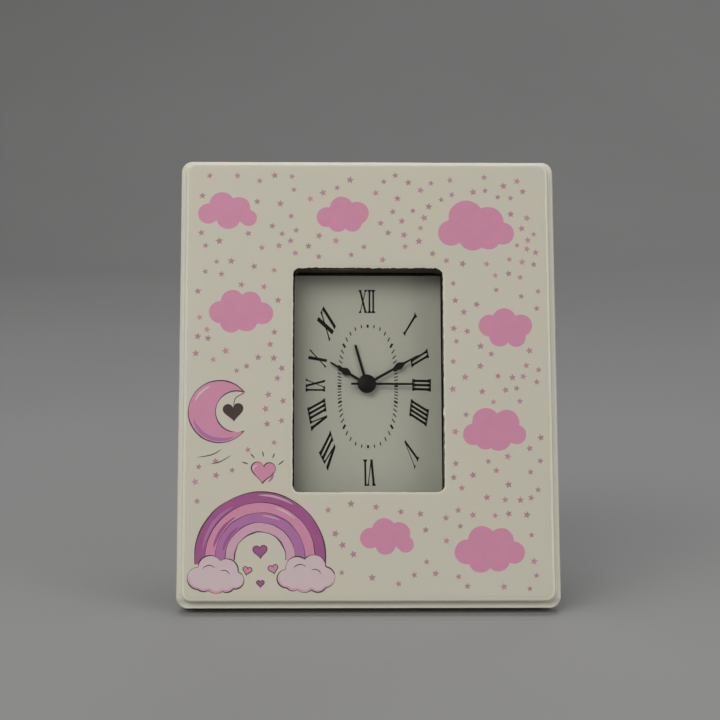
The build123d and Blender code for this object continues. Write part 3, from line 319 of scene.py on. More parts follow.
def star_ink(name):
    """Small stars, each with its own strength of pink."""
    t = Tree(name)
    cells = t.nt.nodes.new("ShaderNodeTexVoronoi")
    cells.feature = "F1"
    cells.inputs["Scale"].default_value = 230.0
    t.nt.links.new(t.coord, cells.inputs["Vector"])
    sep = t.nt.nodes.new("ShaderNodeSeparateColor")
    t.nt.links.new(cells.outputs["Color"], sep.inputs["Color"])
    c = t.mix(sep.outputs[0], (0.68, 0.36, 0.445), (0.52, 0.295, 0.355))
    c = t.mix(t.span(sep.outputs[1], 0.55, 1.0, 0.0, 0.8), c, (0.45, 0.31, 0.335))
    grain = t.noise(1900.0, 2.0, 0.5)
    return t.surface(c, t.span(grain, 0.3, 0.7, 0.38, 0.50), 0.0, t.bumps((grain, 0.1, 0.00004)), 1.48)


def moulded(name, a, b, rough=(0.42, 0.58), scale=1500.0, strength=0.25, depth=0.00006, specular=0.5):
    """Injection moulded plastic with a fine spark-eroded texture."""
    t = Tree(name)
    sparks = t.noise(scale, 3.0, 0.6)
    pits = t.voronoi(scale * 0.8)
    flow = t.noise(90.0, 3.0, 0.5)
    c = t.mix(t.span(flow, 0.3, 0.7), a, b)
    n = t.bumps((sparks, strength, depth), (pits, strength * 0.5, depth))
    return t.surface(c, t.span(flow, 0.3, 0.7, rough[0], rough[1]), 0.0, n, 1.49, specular)


def metal(name, a, b, rough=(0.22, 0.38), streak=(60.0, 60.0, 900.0), strength=0.10):
    t = Tree(name)
    lines = t.noise(1.0, 4.0, 0.6, t.scaled(streak))
    cloud = t.noise(240.0, 4.0, 0.6)
    c = t.mix(t.span(cloud, 0.32, 0.7), a, b)
    n = t.bumps((lines, strength, 0.00004), (cloud, strength * 0.6, 0.00004))
    return t.surface(c, t.span(cloud, 0.3, 0.7, rough[0], rough[1]), 1.0, n)


def zinc(name):
    """Zinc plated spring wire: faint blue cast, draw lines and dull spots."""
    t = Tree(name)
    lines = t.noise(1.0, 4.0, 0.6, t.scaled((700.0, 260.0, 260.0)))
    spots = t.voronoi(520.0)
    cloud = t.noise(150.0, 4.0, 0.6)
    c = t.mix(t.span(cloud, 0.32, 0.68), (0.56, 0.585, 0.61), (0.66, 0.655, 0.62))
    c = t.mix(t.span(spots, 0.0, 0.12, 0.5, 0.0), c, (0.38, 0.39, 0.40))
    n = t.bumps((lines, 0.18, 0.00005), (cloud, 0.10, 0.00008))
    return t.surface(c, t.span(cloud, 0.28, 0.72, 0.24, 0.42), 1.0, n)


def dial_paper(name):
    t = Tree(name)
    fibre = t.noise(1.0, 5.0, 0.65, t.framed((700.0, 1500.0, 900.0)))
    cloud = t.noise(45.0, 3.0, 0.5)
    c = t.mix(t.span(cloud, 0.3, 0.7), (0.825, 0.815, 0.709), (0.840, 0.832, 0.737))
    c = t.mix(t.span(fibre, 0.35, 0.75, 0.0, 0.25), c, (0.770, 0.760, 0.655))
    n = t.bumps((fibre, 0.10, 0.00005))
    return t.surface(c, t.span(fibre, 0.3, 0.7, 0.56, 0.70), 0.0, n, 1.45)


def black_enamel(name, rough=(0.42, 0.56), base=(0.0055, 0.0052, 0.0047)):
    t = Tree(name)
    peel = t.noise(1300.0, 2.0, 0.5)
    cloud = t.noise(300.0, 3.0, 0.5)
    c = t.mix(t.span(cloud, 0.3, 0.7), base, tuple(x * 1.7 for x in base))
    n = t.bumps((peel, 0.12, 0.00004))
    return t.surface(c, t.span(cloud, 0.3, 0.7, rough[0], rough[1]), 0.0, n, 1.5, 0.24)


def clear_pane(name):
    """Thin clear window: it passes the light straight on and mirrors a little."""
    t = Tree(name)
    nt = t.nt
    fres = nt.nodes.new("ShaderNodeFresnel")
    fres.inputs["IOR"].default_value = 1.49
    soft = t.span(fres.outputs["Fac"], 0.0, 1.0, 0.0, 0.55)
    clear = nt.nodes.new("ShaderNodeBsdfTransparent")
    clear.inputs["Color"].default_value = (0.985, 0.988, 0.980, 1.0)
    gloss = nt.nodes.new("ShaderNodeBsdfGlossy")
    gloss.inputs["Color"].default_value = (1.0, 1.0, 1.0, 1.0)
    smear = t.noise(70.0, 3.0, 0.5)
    nt.links.new(t.span(smear, 0.3, 0.7, 0.02, 0.07), gloss.inputs["Roughness"])
    m = nt.nodes.new("ShaderNodeMixShader")
    nt.links.new(soft, m.inputs[0])
    nt.links.new(clear.outputs[0], m.inputs[1])
    nt.links.new(gloss.outputs[0], m.inputs[2])
    nt.links.new(m.outputs[0], t.out.inputs["Surface"])
    return t.mat


def wound_copper(name):
    t = Tree(name)
    turns = t.wave(1.0, t.scaled((0.0, 1150.0, 3660.0)), 0.6, 1.0, "DIAGONAL")
    cloud = t.noise(300.0, 3.0)
    # the turns are banded dark and light on the same wave as their bump: painted shade in the grooves between the turns
    c = t.mix(t.span(turns, 0.2, 0.8), (0.25, 0.085, 0.035), (0.66, 0.27, 0.115))
    c = t.mix(t.span(cloud, 0.35, 0.7, 0.0, 0.4), c, (0.74, 0.36, 0.16))
    return t.surface(c, 0.32, 0.7, t.bumps((turns, 0.6, 0.00005)))


def fibre_board(name):
    t = Tree(name)
    weave = t.noise(1.0, 4.0, 0.6, t.framed((300.0, 1500.0, 300.0)))
    c = t.mix(t.span(weave, 0.35, 0.7), (0.255, 0.150, 0.060), (0.350, 0.215, 0.095))
    return t.surface(c, t.span(weave, 0.3, 0.7, 0.40, 0.55), 0.0, t.bumps((weave, 0.15, 0.00004)))


def cell_sleeve(name):
    """Plain shrink sleeve with bare steel at both ends of the cell."""
    t = Tree(name)
    sep = t.nt.nodes.new("ShaderNodeSeparateXYZ")
    t.nt.links.new(t.coord, sep.inputs[0])
    ends = t.math("MAXIMUM", t.span(sep.outputs["X"], 0.0237, 0.0239), t.span(sep.outputs["X"], -0.0241, -0.0239, 1.0, 0.0))
    band = t.span(sep.outputs["X"], 0.0118, 0.0122, 0.0, 1.0)
    cloud = t.noise(90.0, 3.0)
    c = t.mix(t.span(cloud, 0.3, 0.7), (0.055, 0.135, 0.090), (0.065, 0.155, 0.105))
    c = t.mix(band, c, (0.58, 0.43, 0.20))
    c = t.mix(ends, c, (0.62, 0.62, 0.60))
    wrinkle = t.noise(1.0, 3.0, 0.5, t.scaled((60.0, 700.0, 700.0)))
    return t.surface(c, t.span(ends, 0.0, 1.0, 0.30, 0.26), t.math("MULTIPLY", ends, 1.0), t.bumps((wrinkle, 0.10, 0.0001)))


def soft_rubber(name):
    t = Tree(name)
    dust = t.noise(900.0, 5.0, 0.7)
    cloud = t.noise(120.0, 3.0)
    c = t.mix(t.span(cloud, 0.3, 0.7), (0.020, 0.020, 0.021), (0.032, 0.032, 0.033))
    c = t.mix(t.span(dust, 0.55, 0.8, 0.0, 0.35), c, (0.11, 0.11, 0.105))
    return t.surface(c, t.span(dust, 0.3, 0.7, 0.60, 0.82), 0.0, t.bumps((dust, 0.25, 0.00006)), 1.5)


def ceramic_magnet(name):
    t = Tree(name)
    grain = t.noise(2600.0, 4.0, 0.7)
    c = t.mix(t.span(grain, 0.35, 0.7), (0.045, 0.045, 0.050), (0.095, 0.095, 0.100))
    return t.surface(c, t.span(grain, 0.3, 0.7, 0.45, 0.68), 0.35, t.bumps((grain, 0.3, 0.00004)))


M = {
    # cream: painted shade on the board's strip just below the plate's lower edge
    "cream": cream_paint("cream_paint", 1.0, ((0.0004, 0.0024), (0.0042, 0.0030), (0.0039, 0.0032), (0.80, 0.80, 0.80))),
    # plate: painted shade on the plate's lower edge, which faces down
    "plate": cream_paint("plate_paint", 1.0, (None, (0.0046, 0.0034), (0.0029, 0.0027), (0.86, 0.86, 0.86))),
    "film": cream_film("cream_film"),
    "cut": edge_of_cut("cut_edge"),
    "raw": raw_board("raw_fibreboard"),
    "rim": painted_rim("painted_rim"),
    "pink": ink("ink_pink", (0.818, 0.338, 0.498), (0.780, 0.315, 0.474)),
    "magenta": ink("ink_magenta", (0.470, 0.125, 0.330), (0.420, 0.105, 0.300)),
    "lilac": ink("ink_lilac", (0.545, 0.215, 0.480), (0.510, 0.195, 0.450)),
    "blush": ink("ink_blush", (0.800, 0.470, 0.585), (0.770, 0.430, 0.555)),
    "pale": ink("ink_pale", (0.820, 0.655, 0.680), (0.800, 0.620, 0.655)),
    "dark": ink("ink_dark", (0.062, 0.030, 0.026), (0.078, 0.042, 0.036), (0.42, 0.56)),
    "star": star_ink("ink_stars"),
    "numeral": ink("ink_numeral", (0.0065, 0.0060, 0.0050), (0.0100, 0.0092, 0.0080), (0.50, 0.65), specular=0.22),
    "black": moulded("black_moulding", (0.0300, 0.0300, 0.0310), (0.0400, 0.0398, 0.0395)),
    "black_case": moulded("black_case", (0.0100, 0.0098, 0.0095), (0.0135, 0.0132, 0.0128), (0.60, 0.75), specular=0.06),
    "black_gloss": moulded("black_ring", (0.0125, 0.0122, 0.0118), (0.0165, 0.0162, 0.0155), (0.70, 0.85), 1800.0, 0.12, specular=0.03),
    "mark": moulded("mark_ink", (0.330, 0.330, 0.320), (0.380, 0.380, 0.365), (0.50, 0.65), 1500.0, 0.12),
    "white": moulded("white_moulding", (0.700, 0.690, 0.640), (0.730, 0.720, 0.675), (0.38, 0.50), 1300.0, 0.12),
    "acetal": moulded("acetal_gears", (0.760, 0.755, 0.715), (0.790, 0.785, 0.745), (0.30, 0.42), 900.0, 0.08),
    "slider": moulded("slider_moulding", (0.660, 0.650, 0.600), (0.690, 0.680, 0.635), (0.40, 0.52), 1200.0, 0.16),
    "paper": dial_paper("dial_paper"),
    "hands": black_enamel("hand_enamel"),
    "pane": clear_pane("clear_window"),
    "steel": metal("plated_steel", (0.56, 0.57, 0.58), (0.66, 0.65, 0.63)),
    "screw": metal("screw_zinc", (0.53, 0.55, 0.57), (0.67, 0.655, 0.61), (0.26, 0.42), (400.0, 400.0, 400.0), 0.16),
    "zinc": zinc("zinc_wire"),
    "brass": metal("brass_sheet", (0.66, 0.50, 0.22), (0.76, 0.61, 0.31), (0.22, 0.40)),
    "copper": wound_copper("enamelled_copper"),
    "board": fibre_board("phenolic_board"),
    "epoxy": black_enamel("epoxy_blob", (0.22, 0.34), (0.010, 0.010, 0.011)),
    "cell": cell_sleeve("cell_sleeve"),
    "rubber": soft_rubber("rubber_sleeve"),
    "magnet": ceramic_magnet("sintered_magnet"),
}

NODE_LOOK = {
    "front_panel": "cream", "back_frame": "cream", "printed_film": "film",
    "clock_case": "black_case", "clock_lens": "pane", "dial_spacer": "black_gloss",
    "dial_plate": "paper", "dial_backplate": "black",
    "movement_base": "black", "middle_plate": "white", "train_bridge": "white",
    "rear_case": "black", "battery_door": "black",
    "seconds_wheel": "acetal", "third_wheel": "acetal", "centre_wheel": "acetal",
    "intermediate_wheel": "acetal", "rotor_pinion": "acetal", "rotor_magnet": "magnet",
    "cannon_pinion": "acetal", "minute_wheel": "acetal", "hour_wheel": "acetal", "alarm_wheel": "acetal",
    "stator_plate": "steel", "coil_core": "steel", "coil_bobbin": "white", "coil_winding": "copper",
    "circuit_board": "board", "chip_blob": "epoxy", "quartz_crystal": "steel",
    "buzzer_disc": "brass", "alarm_contact": "brass",
    "battery": "cell", "battery_contact_positive": "steel", "battery_contact_negative": "steel",
    "time_set_knob": "black", "alarm_set_knob": "black", "alarm_switch": "slider",
    "hour_hand": "hands", "minute_hand": "hands", "second_hand": "hands", "hand_cap": "hands", "alarm_hand": "hands",
    "stand_wire": "zinc", "stand_sleeve": "rubber", "stand_brackets": "black",
    "case_screws": "screw", "bracket_screws": "screw", "movement_screws": "screw",
    "rear_case_screws": "screw", "bridge_screws": "screw",
}
for name, look in NODE_LOOK.items():
    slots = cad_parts[name].material_slots
    for s in slots:
        s.material = M[look]


# ===========================================================================
# mesh helpers
# ===========================================================================
def put(name, bm, looks, body="root", replaces=(), sharp=38.0):
    bmesh.ops.recalc_face_normals(bm, faces=bm.faces[:])
    mesh = bpy.data.meshes.new(name)
    bm.to_mesh(mesh)
    bm.free()
    for look in looks:
        mesh.materials.append(M[look])
    for p in mesh.polygons:
        p.use_smooth = True
    mesh.set_sharp_from_angle(angle=radians(sharp))
    ob = bpy.data.objects.new(name, mesh)
    bpy.context.scene.collection.objects.link(ob)
    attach(ob, body)
    if replaces:
        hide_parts(*replaces)
    return ob


def round_loop(width, height, r, cx, cv, across, up, corner):
    """Closed rounded rectangle, counter-clockwise from the lower left of the
    bottom side: (x, v, outward x, outward v), the same count for every size."""
    r = max(r, 0.02)
    hx, hv = width / 2, height / 2
    pts = []
    sides = [
        ((-hx + r, -hv), (hx - r, -hv), (0, -1), across),
        ((hx, -hv + r), (hx, hv - r), (1, 0), up),
        ((hx - r, hv), (-hx + r, hv), (0, 1), across),
        ((-hx, hv - r), (-hx, -hv + r), (-1, 0), up),
    ]
    centres = [(hx - r, -hv + r), (hx - r, hv - r), (-hx + r, hv - r), (-hx + r, -hv + r)]
    for k, (a, b, n, count) in enumerate(sides):
        for i in range(count):
            t = i / count
            pts.append((cx + a[0] + (b[0] - a[0]) * t, cv + a[1] + (b[1] - a[1]) * t, n[0], n[1]))
        c = centres[k]
        for i in range(corner):
            a0 = radians(-90 + 90 * k + 90 * i / corner)
            pts.append((cx + c[0] + r * cos(a0), cv + c[1] + r * sin(a0), cos(a0), sin(a0)))
    return pts


ACROSS, UP, CORNER = 118, 142, 14


def edge_ring(bm, width, height, r, cx, cv, inset, w, side=0.0, seed=1.0, bead=0.0, limit=None, keep_out=False, chip=0.0, build=(0.0, 0.0, 0.0), low=1.0, tight=0.0):
    """One ring of a board's edge.  inset moves it inward, side and bead are
    the sizes of the uneven run along the edge, sideways and in depth."""
    sign = -1.0 if keep_out else 1.0
    wide = inset
    ring = []
    for x, v, nx, nv in round_loop(width - 2 * inset * sign, height - 2 * inset * sign,
                                   r - inset * sign, cx, cv, ACROSS, UP, CORNER):
        run = 0.65 * noise1(x, v, 17.0, seed) + 0.35 * noise1(x, v, 5.2, seed + 3) + 0.22 * noise1(x, v, 2.1, seed + 5)
        push = side * (0.55 + run)
        if chip:
            ragged = 1.2 + 1.9 * max(0.0, nv)
            push += chip * ragged * (noise1(x, v, 1.05, seed + 21) + 0.8 * max(0.0, noise1(x, v, 2.9, seed + 23)))
        lift = bead * (0.55 + 0.9 * noise1(x, v, 9.0, seed + 9) + 0.55 * noise1(x, v, 3.1, seed + 11))
        if low < 1.0 and nv < 0.0:
            # along the lower side: no fillet, no bead
            part = 1.0 + nv * (1.0 - low)
            lift *= part
            if wide < 0.0:
                push -= wide * (1.0 - part)
        x2, v2 = x - nx * push * sign, v - nv * push * sign
        # paint and board stand proud unevenly round the opening: (left, low, right)
        x2 += build[0] * max(0.0, -nx) - build[2] * max(0.0, nx)
        v2 += build[1] * max(0.0, -nv)
        if tight and nv < 0.0:
            v2 += tight * wide * nv
        p = P(x2, v2, w - lift)
        if limit is not None and p.z < limit:
            p.z = limit
        ring.append(bm.verts.new(p))
    return ring


def bridge(bm, a, b, look=0):
    n = len(a)
    for i in range(n):
        f = bm.faces.new((a[i], a[(i + 1) % n], b[(i + 1) % n], b[i]))
        f.material_index = look


def fill_between(bm, a, b, steps, look=0):
    """Rows of quads between two matched rings."""
    rows = [a]
    for s in range(1, steps):
        t = s / steps
        rows.append([bm.verts.new(p.co.lerp(q.co, t)) for p, q in zip(a, b)])
    rows.append(b)
    for r0, r1 in zip(rows, rows[1:]):
        bridge(bm, r0, r1, look)


# ===========================================================================
# the painted wooden frame
# ===========================================================================
def make_board():
    bm = bmesh.new()
    W, H, R, cx, cv = 150.7, 180.0, 4.5, 0.30, 90.0
    outer = [
        # inset, depth, side run, bead
        (2.6, 12.0, 0.00, 0.00), (1.30, 12.0, 0.00, 0.00), (0.62, 11.98, 0.05, 0.0), (0.30, 11.86, 0.08, 0.0),
        (0.10, 11.62, 0.10, 0.0), (0.02, 11.20, 0.11, 0.0), (0.0, 10.2, 0.12, 0.0), (0.0, 8.8, 0.11, 0.0),
        (0.0, 7.4, 0.12, 0.0), (0.0, 6.0, 0.12, 0.0), (0.0, 4.8, 0.12, 0.0), (0.0, 4.15, 0.11, 0.0),
        (0.035, 3.80, 0.10, 0.0), (0.14, 3.48, 0.09, 0.02), (0.32, 3.22, 0.07, 0.04), (0.56, 3.06, 0.05, 0.07),
        (0.86, 3.00, 0.04, 0.10), (1.25, 3.01, 0.02, 0.06), (1.80, 3.02, 0.0, 0.02), (2.60, 3.02, 0.0, 0.02),
        (3.40, 3.00, 0.0, 0.0),
    ]
    rings = [edge_ring(bm, W, H, R, cx, cv, i, w, s, 1.0, b, limit=0.0, tight=0.95 if w < 6.0 and i < 1.0 else 0.0) for i, w, s, b in outer]
    for k, (r0, r1) in enumerate(zip(rings, rings[1:])):
        bridge(bm, r0, r1, 1 if k < 6 else 0)
    # opening, from the front back to the rebate that holds the clock
    inner_front = edge_ring(bm, 60.0, 90.0, 3.0, 0.0, 90.0, 0.0, 3.0, 0.10, 21.0, keep_out=True, build=(0.40, 0.15, -0.08))
    mid1 = edge_ring(bm, 60.0, 90.0, 3.0, 0.0, 90.0, 0.0, 4.2, 0.12, 22.0, keep_out=True, build=(0.80, 0.30, 0.16))
    mid2 = edge_ring(bm, 60.0, 90.0, 3.0, 0.0, 90.0, 0.0, 6.2, 0.12, 23.0, keep_out=True, build=(0.84, 0.30, 0.20))
    inner_back = edge_ring(bm, 60.0, 90.0, 3.0, 0.0, 90.0, 0.0, 7.95, 0.10, 24.0, keep_out=True, build=(0.84, 0.30, 0.20))
    step = edge_ring(bm, 69.5, 99.5, 2.2, 0.0, 90.0, 0.0, 7.95, 0.0, 25.0, keep_out=True)
    rebate_mid = edge_ring(bm, 69.5, 99.5, 2.2, 0.0, 90.0, 0.0, 10.0, 0.0, 26.0, keep_out=True)
    rebate_lip = edge_ring(bm, 69.5, 99.5, 2.2, 0.0, 90.0, 0.0, 11.85, 0.0, 27.0, keep_out=True)
    rebate_out = edge_ring(bm, 69.5, 99.5, 2.2, 0.0, 90.0, 0.14, 12.0, 0.0, 27.0, keep_out=True)
    fill_between(bm, rings[-1], inner_front, 4, 0)
    bridge(bm, inner_front, mid1, 2)
    bridge(bm, mid1, mid2, 2)
    bridge(bm, mid2, inner_back, 2)
    bridge(bm, inner_back, step, 3)
    bridge(bm, step, rebate_mid, 3)
    bridge(bm, rebate_mid, rebate_lip, 3)
    bridge(bm, rebate_lip, rebate_out, 3)
    fill_between(bm, rebate_out, rings[0], 6, 3)
    return put("frame_board", bm, ["cream", "rim", "cut", "raw"], replaces=["back_frame"])


NICK = (29.6, 76.2)


def make_plate():
    bm = bmesh.new()
    W, H, R, cx, cv = 146.3, 175.95, 4.0, 0.15, 90.33
    # paint gathers in the corner between the plate's side and the board
    outer = [
        (-1.15, 3.10, 0.0, 0.0), (-0.80, 2.975, 0.10, 0.0), (-0.50, 2.90, 0.12, 0.0), (-0.26, 2.72, 0.12, 0.0),
        (-0.09, 2.36, 0.11, 0.0), (-0.02, 1.85, 0.10, 0.0), (0.0, 1.15, 0.10, 0.0), (0.02, 0.72, 0.09, 0.0),
        (0.11, 0.38, 0.08, 0.02), (0.27, 0.13, 0.07, 0.06), (0.48, -0.01, 0.05, 0.12), (0.74, -0.06, 0.04, 0.16),
        (1.02, -0.05, 0.03, 0.12), (1.45, -0.01, 0.02, 0.04), (2.1, 0.0, 0.0, 0.0), (3.4, 0.0, 0.0, 0.0),
    ]
    rings = [edge_ring(bm, W, H, R, cx, cv, i, w, s, 2.0, b, low=0.0) for i, w, s, b in outer]
    for r0, r1 in zip(rings, rings[1:]):
        bridge(bm, r0, r1, 0)
    inner = [
        (1.6, 0.0, 0.0, 0.0, 0.0), (0.95, 0.0, 0.02, 0.05, 0.0), (0.55, -0.01, 0.05, 0.10, 0.01), (0.30, 0.01, 0.09, 0.09, 0.04),
        (0.13, 0.08, 0.13, 0.04, 0.09), (0.03, 0.22, 0.15, 0.0, 0.13), (0.02, 0.48, 0.15, 0.0, 0.12), (0.02, 0.95, 0.14, 0.0, 0.06),
        (0.0, 1.6, 0.13, 0.0, 0.02), (0.0, 2.3, 0.12, 0.0, 0.0), (0.02, 2.98, 0.10, 0.0, 0.0), (0.7, 3.0, 0.0, 0.0, 0.0),
    ]
    rings2 = []
    for i, w, s, b, chip in inner:
        ring = edge_ring(bm, 60.0, 90.0, 3.0, 0.0, 90.0, i, w, s, 12.0, b, keep_out=True, chip=chip, build=(0.46, 0.19, -0.10))
        rings2.append(ring)
    # a run of paint that hangs into the opening at its right-hand edge
    for k, ring in enumerate(rings2[2:8]):
        amount = (0.25, 0.6, 0.95, 1.0, 0.8, 0.3)[k]
        for vert in ring:
            y, z = vert.co.y * 1000 - Y0, vert.co.z * 1000 - Z0
            v = y * SA + z * CA
            if vert.co.x > 0.0285:
                g = exp(-((v - NICK[1]) / 0.95) ** 2) + 0.45 * exp(-((v - NICK[1] - 1.6) / 0.5) ** 2)
                vert.co.x -= 0.00062 * amount * g
    for k, (r0, r1) in enumerate(zip(rings2, rings2[1:])):
        bridge(bm, r0, r1, 0 if k < 4 else 1)
    fill_between(bm, rings[-1], rings2[0], 6, 0)
    fill_between(bm, rings2[-1], rings[0], 4, 2)
    return put("front_plate", bm, ["plate", "cut", "raw"], replaces=["front_panel"])


FILM_FACE = -0.125


def make_film():
    """The varnished print sheet on the plate, its edge rubbed down."""
    bm = bmesh.new()
    W, H, R, cx, cv = 144.7, 174.2, 3.4, 0.15, 90.4
    rows = [(0.10, 0.03, 0.06), (0.12, -0.02, 0.06), (0.45, -0.07, 0.05), (0.95, -0.105, 0.02), (1.6, FILM_FACE, 0.0), (3.2, FILM_FACE, 0.0)]
    a = [edge_ring(bm, W, H, R, cx, cv, i, w, s, 31.0) for i, w, s in rows]
    rows2 = [(3.0, FILM_FACE, 0.0), (1.1, FILM_FACE, 0.0), (0.55, -0.105, 0.04), (0.22, -0.06, 0.08), (0.08, -0.01, 0.10), (0.10, 0.04, 0.10)]
    b = [edge_ring(bm, 60.8, 90.8, 3.4, 0.0, 90.0, i, w, s, 33.0, keep_out=True, build=(0.40, 0.15, -0.08)) for i, w, s in rows2]
    for r0, r1 in zip(a, a[1:]):
        bridge(bm, r0, r1)
    fill_between(bm, a[-1], b[0], 8)
    for r0, r1 in zip(b, b[1:]):
        bridge(bm, r0, r1)
    fill_between(bm, b[-1], a[0], 8)
    return put("print_sheet", bm, ["film"], replaces=["printed_film"])


# ===========================================================================
# flat shapes with a real, very small thickness
# ===========================================================================
def area2(loop):
    return sum(loop[i - 1][0] * loop[i][1] - loop[i][0] * loop[i - 1][1] for i in range(len(loop)))


def prism(bm, loops, w_top, w_back, look=0):
    """A closed plate from an outline and its holes, given as (x, v)."""
    outs = []
    for k, lp in enumerate(loops):
        ccw = area2(lp) > 0
        outs.append(list(lp) if ccw == (k == 0) else list(reversed(lp)))
    tris = tessellate_polygon([[Vector((x, v, 0.0)) for x, v in lp] for lp in outs])
    flat = [p for lp in outs for p in lp]
    top = [bm.verts.new(P(x, v, w_top)) for x, v in flat]
    back = [bm.verts.new(P(x, v, w_back)) for x, v in flat]
    for t in tris:
        a, b, c = t
        s = (flat[b][0] - flat[a][0]) * (flat[c][1] - flat[a][1]) - (flat[c][0] - flat[a][0]) * (flat[b][1] - flat[a][1])
        if abs(s) < 1e-10:
            continue
        if s < 0:
            a, b, c = a, c, b
        f = bm.faces.new((top[a], top[b], top[c]))
        f.material_index = look
        f = bm.faces.new((back[a], back[c], back[b]))
        f.material_index = look
    base = 0
    for lp in outs:
        n = len(lp)
        for i in range(n):
            j = (i + 1) % n
            f = bm.faces.new((back[base + i], back[base + j], top[base + j], top[base + i]))
            f.material_index = look
        base += n


def curve(points, per=10, closed=False):
    """A smooth line through points."""
    pts = [Vector((p[0], p[1])) for p in points]
    n = len(pts)
    out = []
    last = n if closed else n - 1
    for i in range(last):
        p0 = pts[(i - 1) % n] if closed or i > 0 else pts[i] * 2 - pts[i + 1]
        p1 = pts[i]
        p2 = pts[(i + 1) % n]
        p3 = pts[(i + 2) % n] if closed or i + 2 < n else pts[i + 1] * 2 - pts[i]
        for k in range(per):
            t = k / per
            out.append(0.5 * ((2 * p1) + (p2 - p0) * t + (2 * p0 - 5 * p1 + 4 * p2 - p3) * t * t + (3 * p1 - p0 - 3 * p2 + p3) * t ** 3))
    if not closed:
        out.append(pts[-1])
    return [(p.x, p.y) for p in out]


def stroke_loops(line, width, seed=0.0, closed=False):
    """Outline of a pen stroke along a line.  width(t) is its full width."""
    n = len(line)
    left, right = [], []
    for i in range(n):
        a = line[(i - 1) % n] if closed or i > 0 else line[0]
        b = line[(i + 1) % n] if closed or i < n - 1 else line[-1]
        dx, dy = b[0] - a[0], b[1] - a[1]
        L = hypot(dx, dy) or 1.0
        nx, ny = -dy / L, dx / L
        t = i / n if closed else i / (n - 1)
        h = width(t) / 2 * (1.0 + 0.22 * noise1(line[i][0], line[i][1], 2.4, seed))
        left.append((line[i][0] + nx * h, line[i][1] + ny * h))
        right.append((line[i][0] - nx * h, line[i][1] - ny * h))
    if closed:
        return (left, right) if abs(area2(left)) > abs(area2(right)) else (right, left)
    return (left + list(reversed(right)),)


def taper(w, lo=0.25):
    return lambda t: w * (lo + (1 - lo) * sin(pi * min(max(t, 0.0), 1.0)) ** 0.55)


def blob(circles, centre, samples=220, seed=0.0, wobble=0.0):
    """Outline round a group of overlapping circles, seen from their middle."""
    out = []
    for i in range(samples):
        a = 2 * pi * i / samples
        dx, dy = cos(a), sin(a)
        best = 0.2
        for cx, cy, r in circles:
            px, py = cx - centre[0], cy - centre[1]
            along = px * dx + py * dy
            off2 = px * px + py * py - along * along
            if off2 < r * r:
                best = max(best, along + sqrt(r * r - off2))
        best *= 1.0 + wobble * noise1(dx * 3 + seed, dy * 3, 1.0, seed)
        out.append((centre[0] + dx * best, centre[1] + dy * best))
    return out


# ---- depths of the printed layers, from the sheet outwards
L0 = FILM_FACE + 0.012
L1, L2, L3, L4 = FILM_FACE - 0.014, FILM_FACE - 0.022, FILM_FACE - 0.030, FILM_FACE - 0.038

# The clouds: middle, then lobes as (x, v, radius) about it.
CLOUDS = [
    ((43.5, 152.0), [(-8.6, -1.8, 4.6), (-3.0, 3.6, 6.2), (4.6, 1.6, 5.6), (9.6, -2.6, 4.0), (-1.0, -3.4, 5.0), (4.6, -4.0, 4.2)], 1.14, 2),
    ((-56.0, 158.5), [(-7.4, -1.6, 4.0), (-2.4, 2.2, 5.0), (4.2, 1.4, 4.4), (8.2, -2.2, 3.2), (0.4, -2.6, 4.6)], 1.04, -4),
    ((-9.5, 157.0), [(-6.6, -0.6, 4.0), (-0.6, 2.8, 4.6), (5.4, 0.4, 4.6), (-2.4, -3.0, 3.8), (3.4, -3.4, 3.6)], 1.02, 3),
    ((-50.5, 117.5), [(-7.8, 0.2, 4.3), (-2.8, 4.0, 4.4), (3.8, 3.0, 4.2), (8.0, -1.6, 4.2), (1.8, -3.6, 4.4), (-4.0, -3.8, 4.2)], 1.05, 5),
    ((55.5, 110.5), [(-6.8, 0.8, 4.4), (-1.0, 3.4, 4.8), (5.8, 1.6, 4.4), (4.0, -3.4, 3.8), (-2.6, -3.2, 4.2)], 1.0, -3),
    ((50.0, 70.0), [(-7.8, -1.4, 4.0), (-2.8, 3.0, 5.2), (4.8, 2.2, 4.8), (8.2, -2.6, 3.6), (1.4, -3.4, 4.8), (-3.6, -3.6, 3.8)], 1.06, 4),
    ((7.5, 27.5), [(-6.6, -1.2, 4.0), (-1.6, 2.6, 4.6), (4.4, 1.8, 4.4), (7.4, -2.2, 3.2), (-0.4, -3.0, 4.0)], 1.0, -6),
    ((47.5, 22.5), [(-8.2, -0.6, 4.5), (-2.6, 3.6, 5.0), (4.4, 3.0, 4.6), (8.8, -1.4, 4.0), (3.0, -3.8, 4.2), (-3.4, -3.8, 4.4)], 1.08, 2),
]


def cloud_outline(k):
    (cx, cv), lobes, size, tilt = CLOUDS[k]
    a = radians(tilt)
    turned = [(cx + size * (x * cos(a) - y * sin(a)), cv + size * (x * sin(a) + y * cos(a)), r * size) for x, y, r in lobes]
    return blob(turned, (cx, cv), 240, 3.0 + k, 0.012)


def make_clouds():
    bm = bmesh.new()
    for k in range(len(CLOUDS)):
        prism(bm, [cloud_outline(k)], L1, L0)
    return put("print_clouds", bm, ["pink"])


def inside(pt, loop, margin=0.0):
    x, y = pt
    hit = False
    n = len(loop)
    for i in range(n):
        x1, y1 = loop[i]
        x2, y2 = loop[(i + 1) % n]
        if (y1 > y) != (y2 > y) and x < (x2 - x1) * (y - y1) / (y2 - y1) + x1:
            hit = not hit
        if margin and hypot(x1 - x, y1 - y) < margin:
            return True
    return hit


def star_loop(x, v, r, turn):
    pts = []
    for i in range(10):
        rr = r if i % 2 == 0 else r * 0.46
        a = radians(turn + 90 + 36 * i)
        pts.append((x + rr * cos(a), v + rr * sin(a)))
    return pts


RAINBOW = (-42.2, 19.5)
MOON = (-58.5, 77.0)


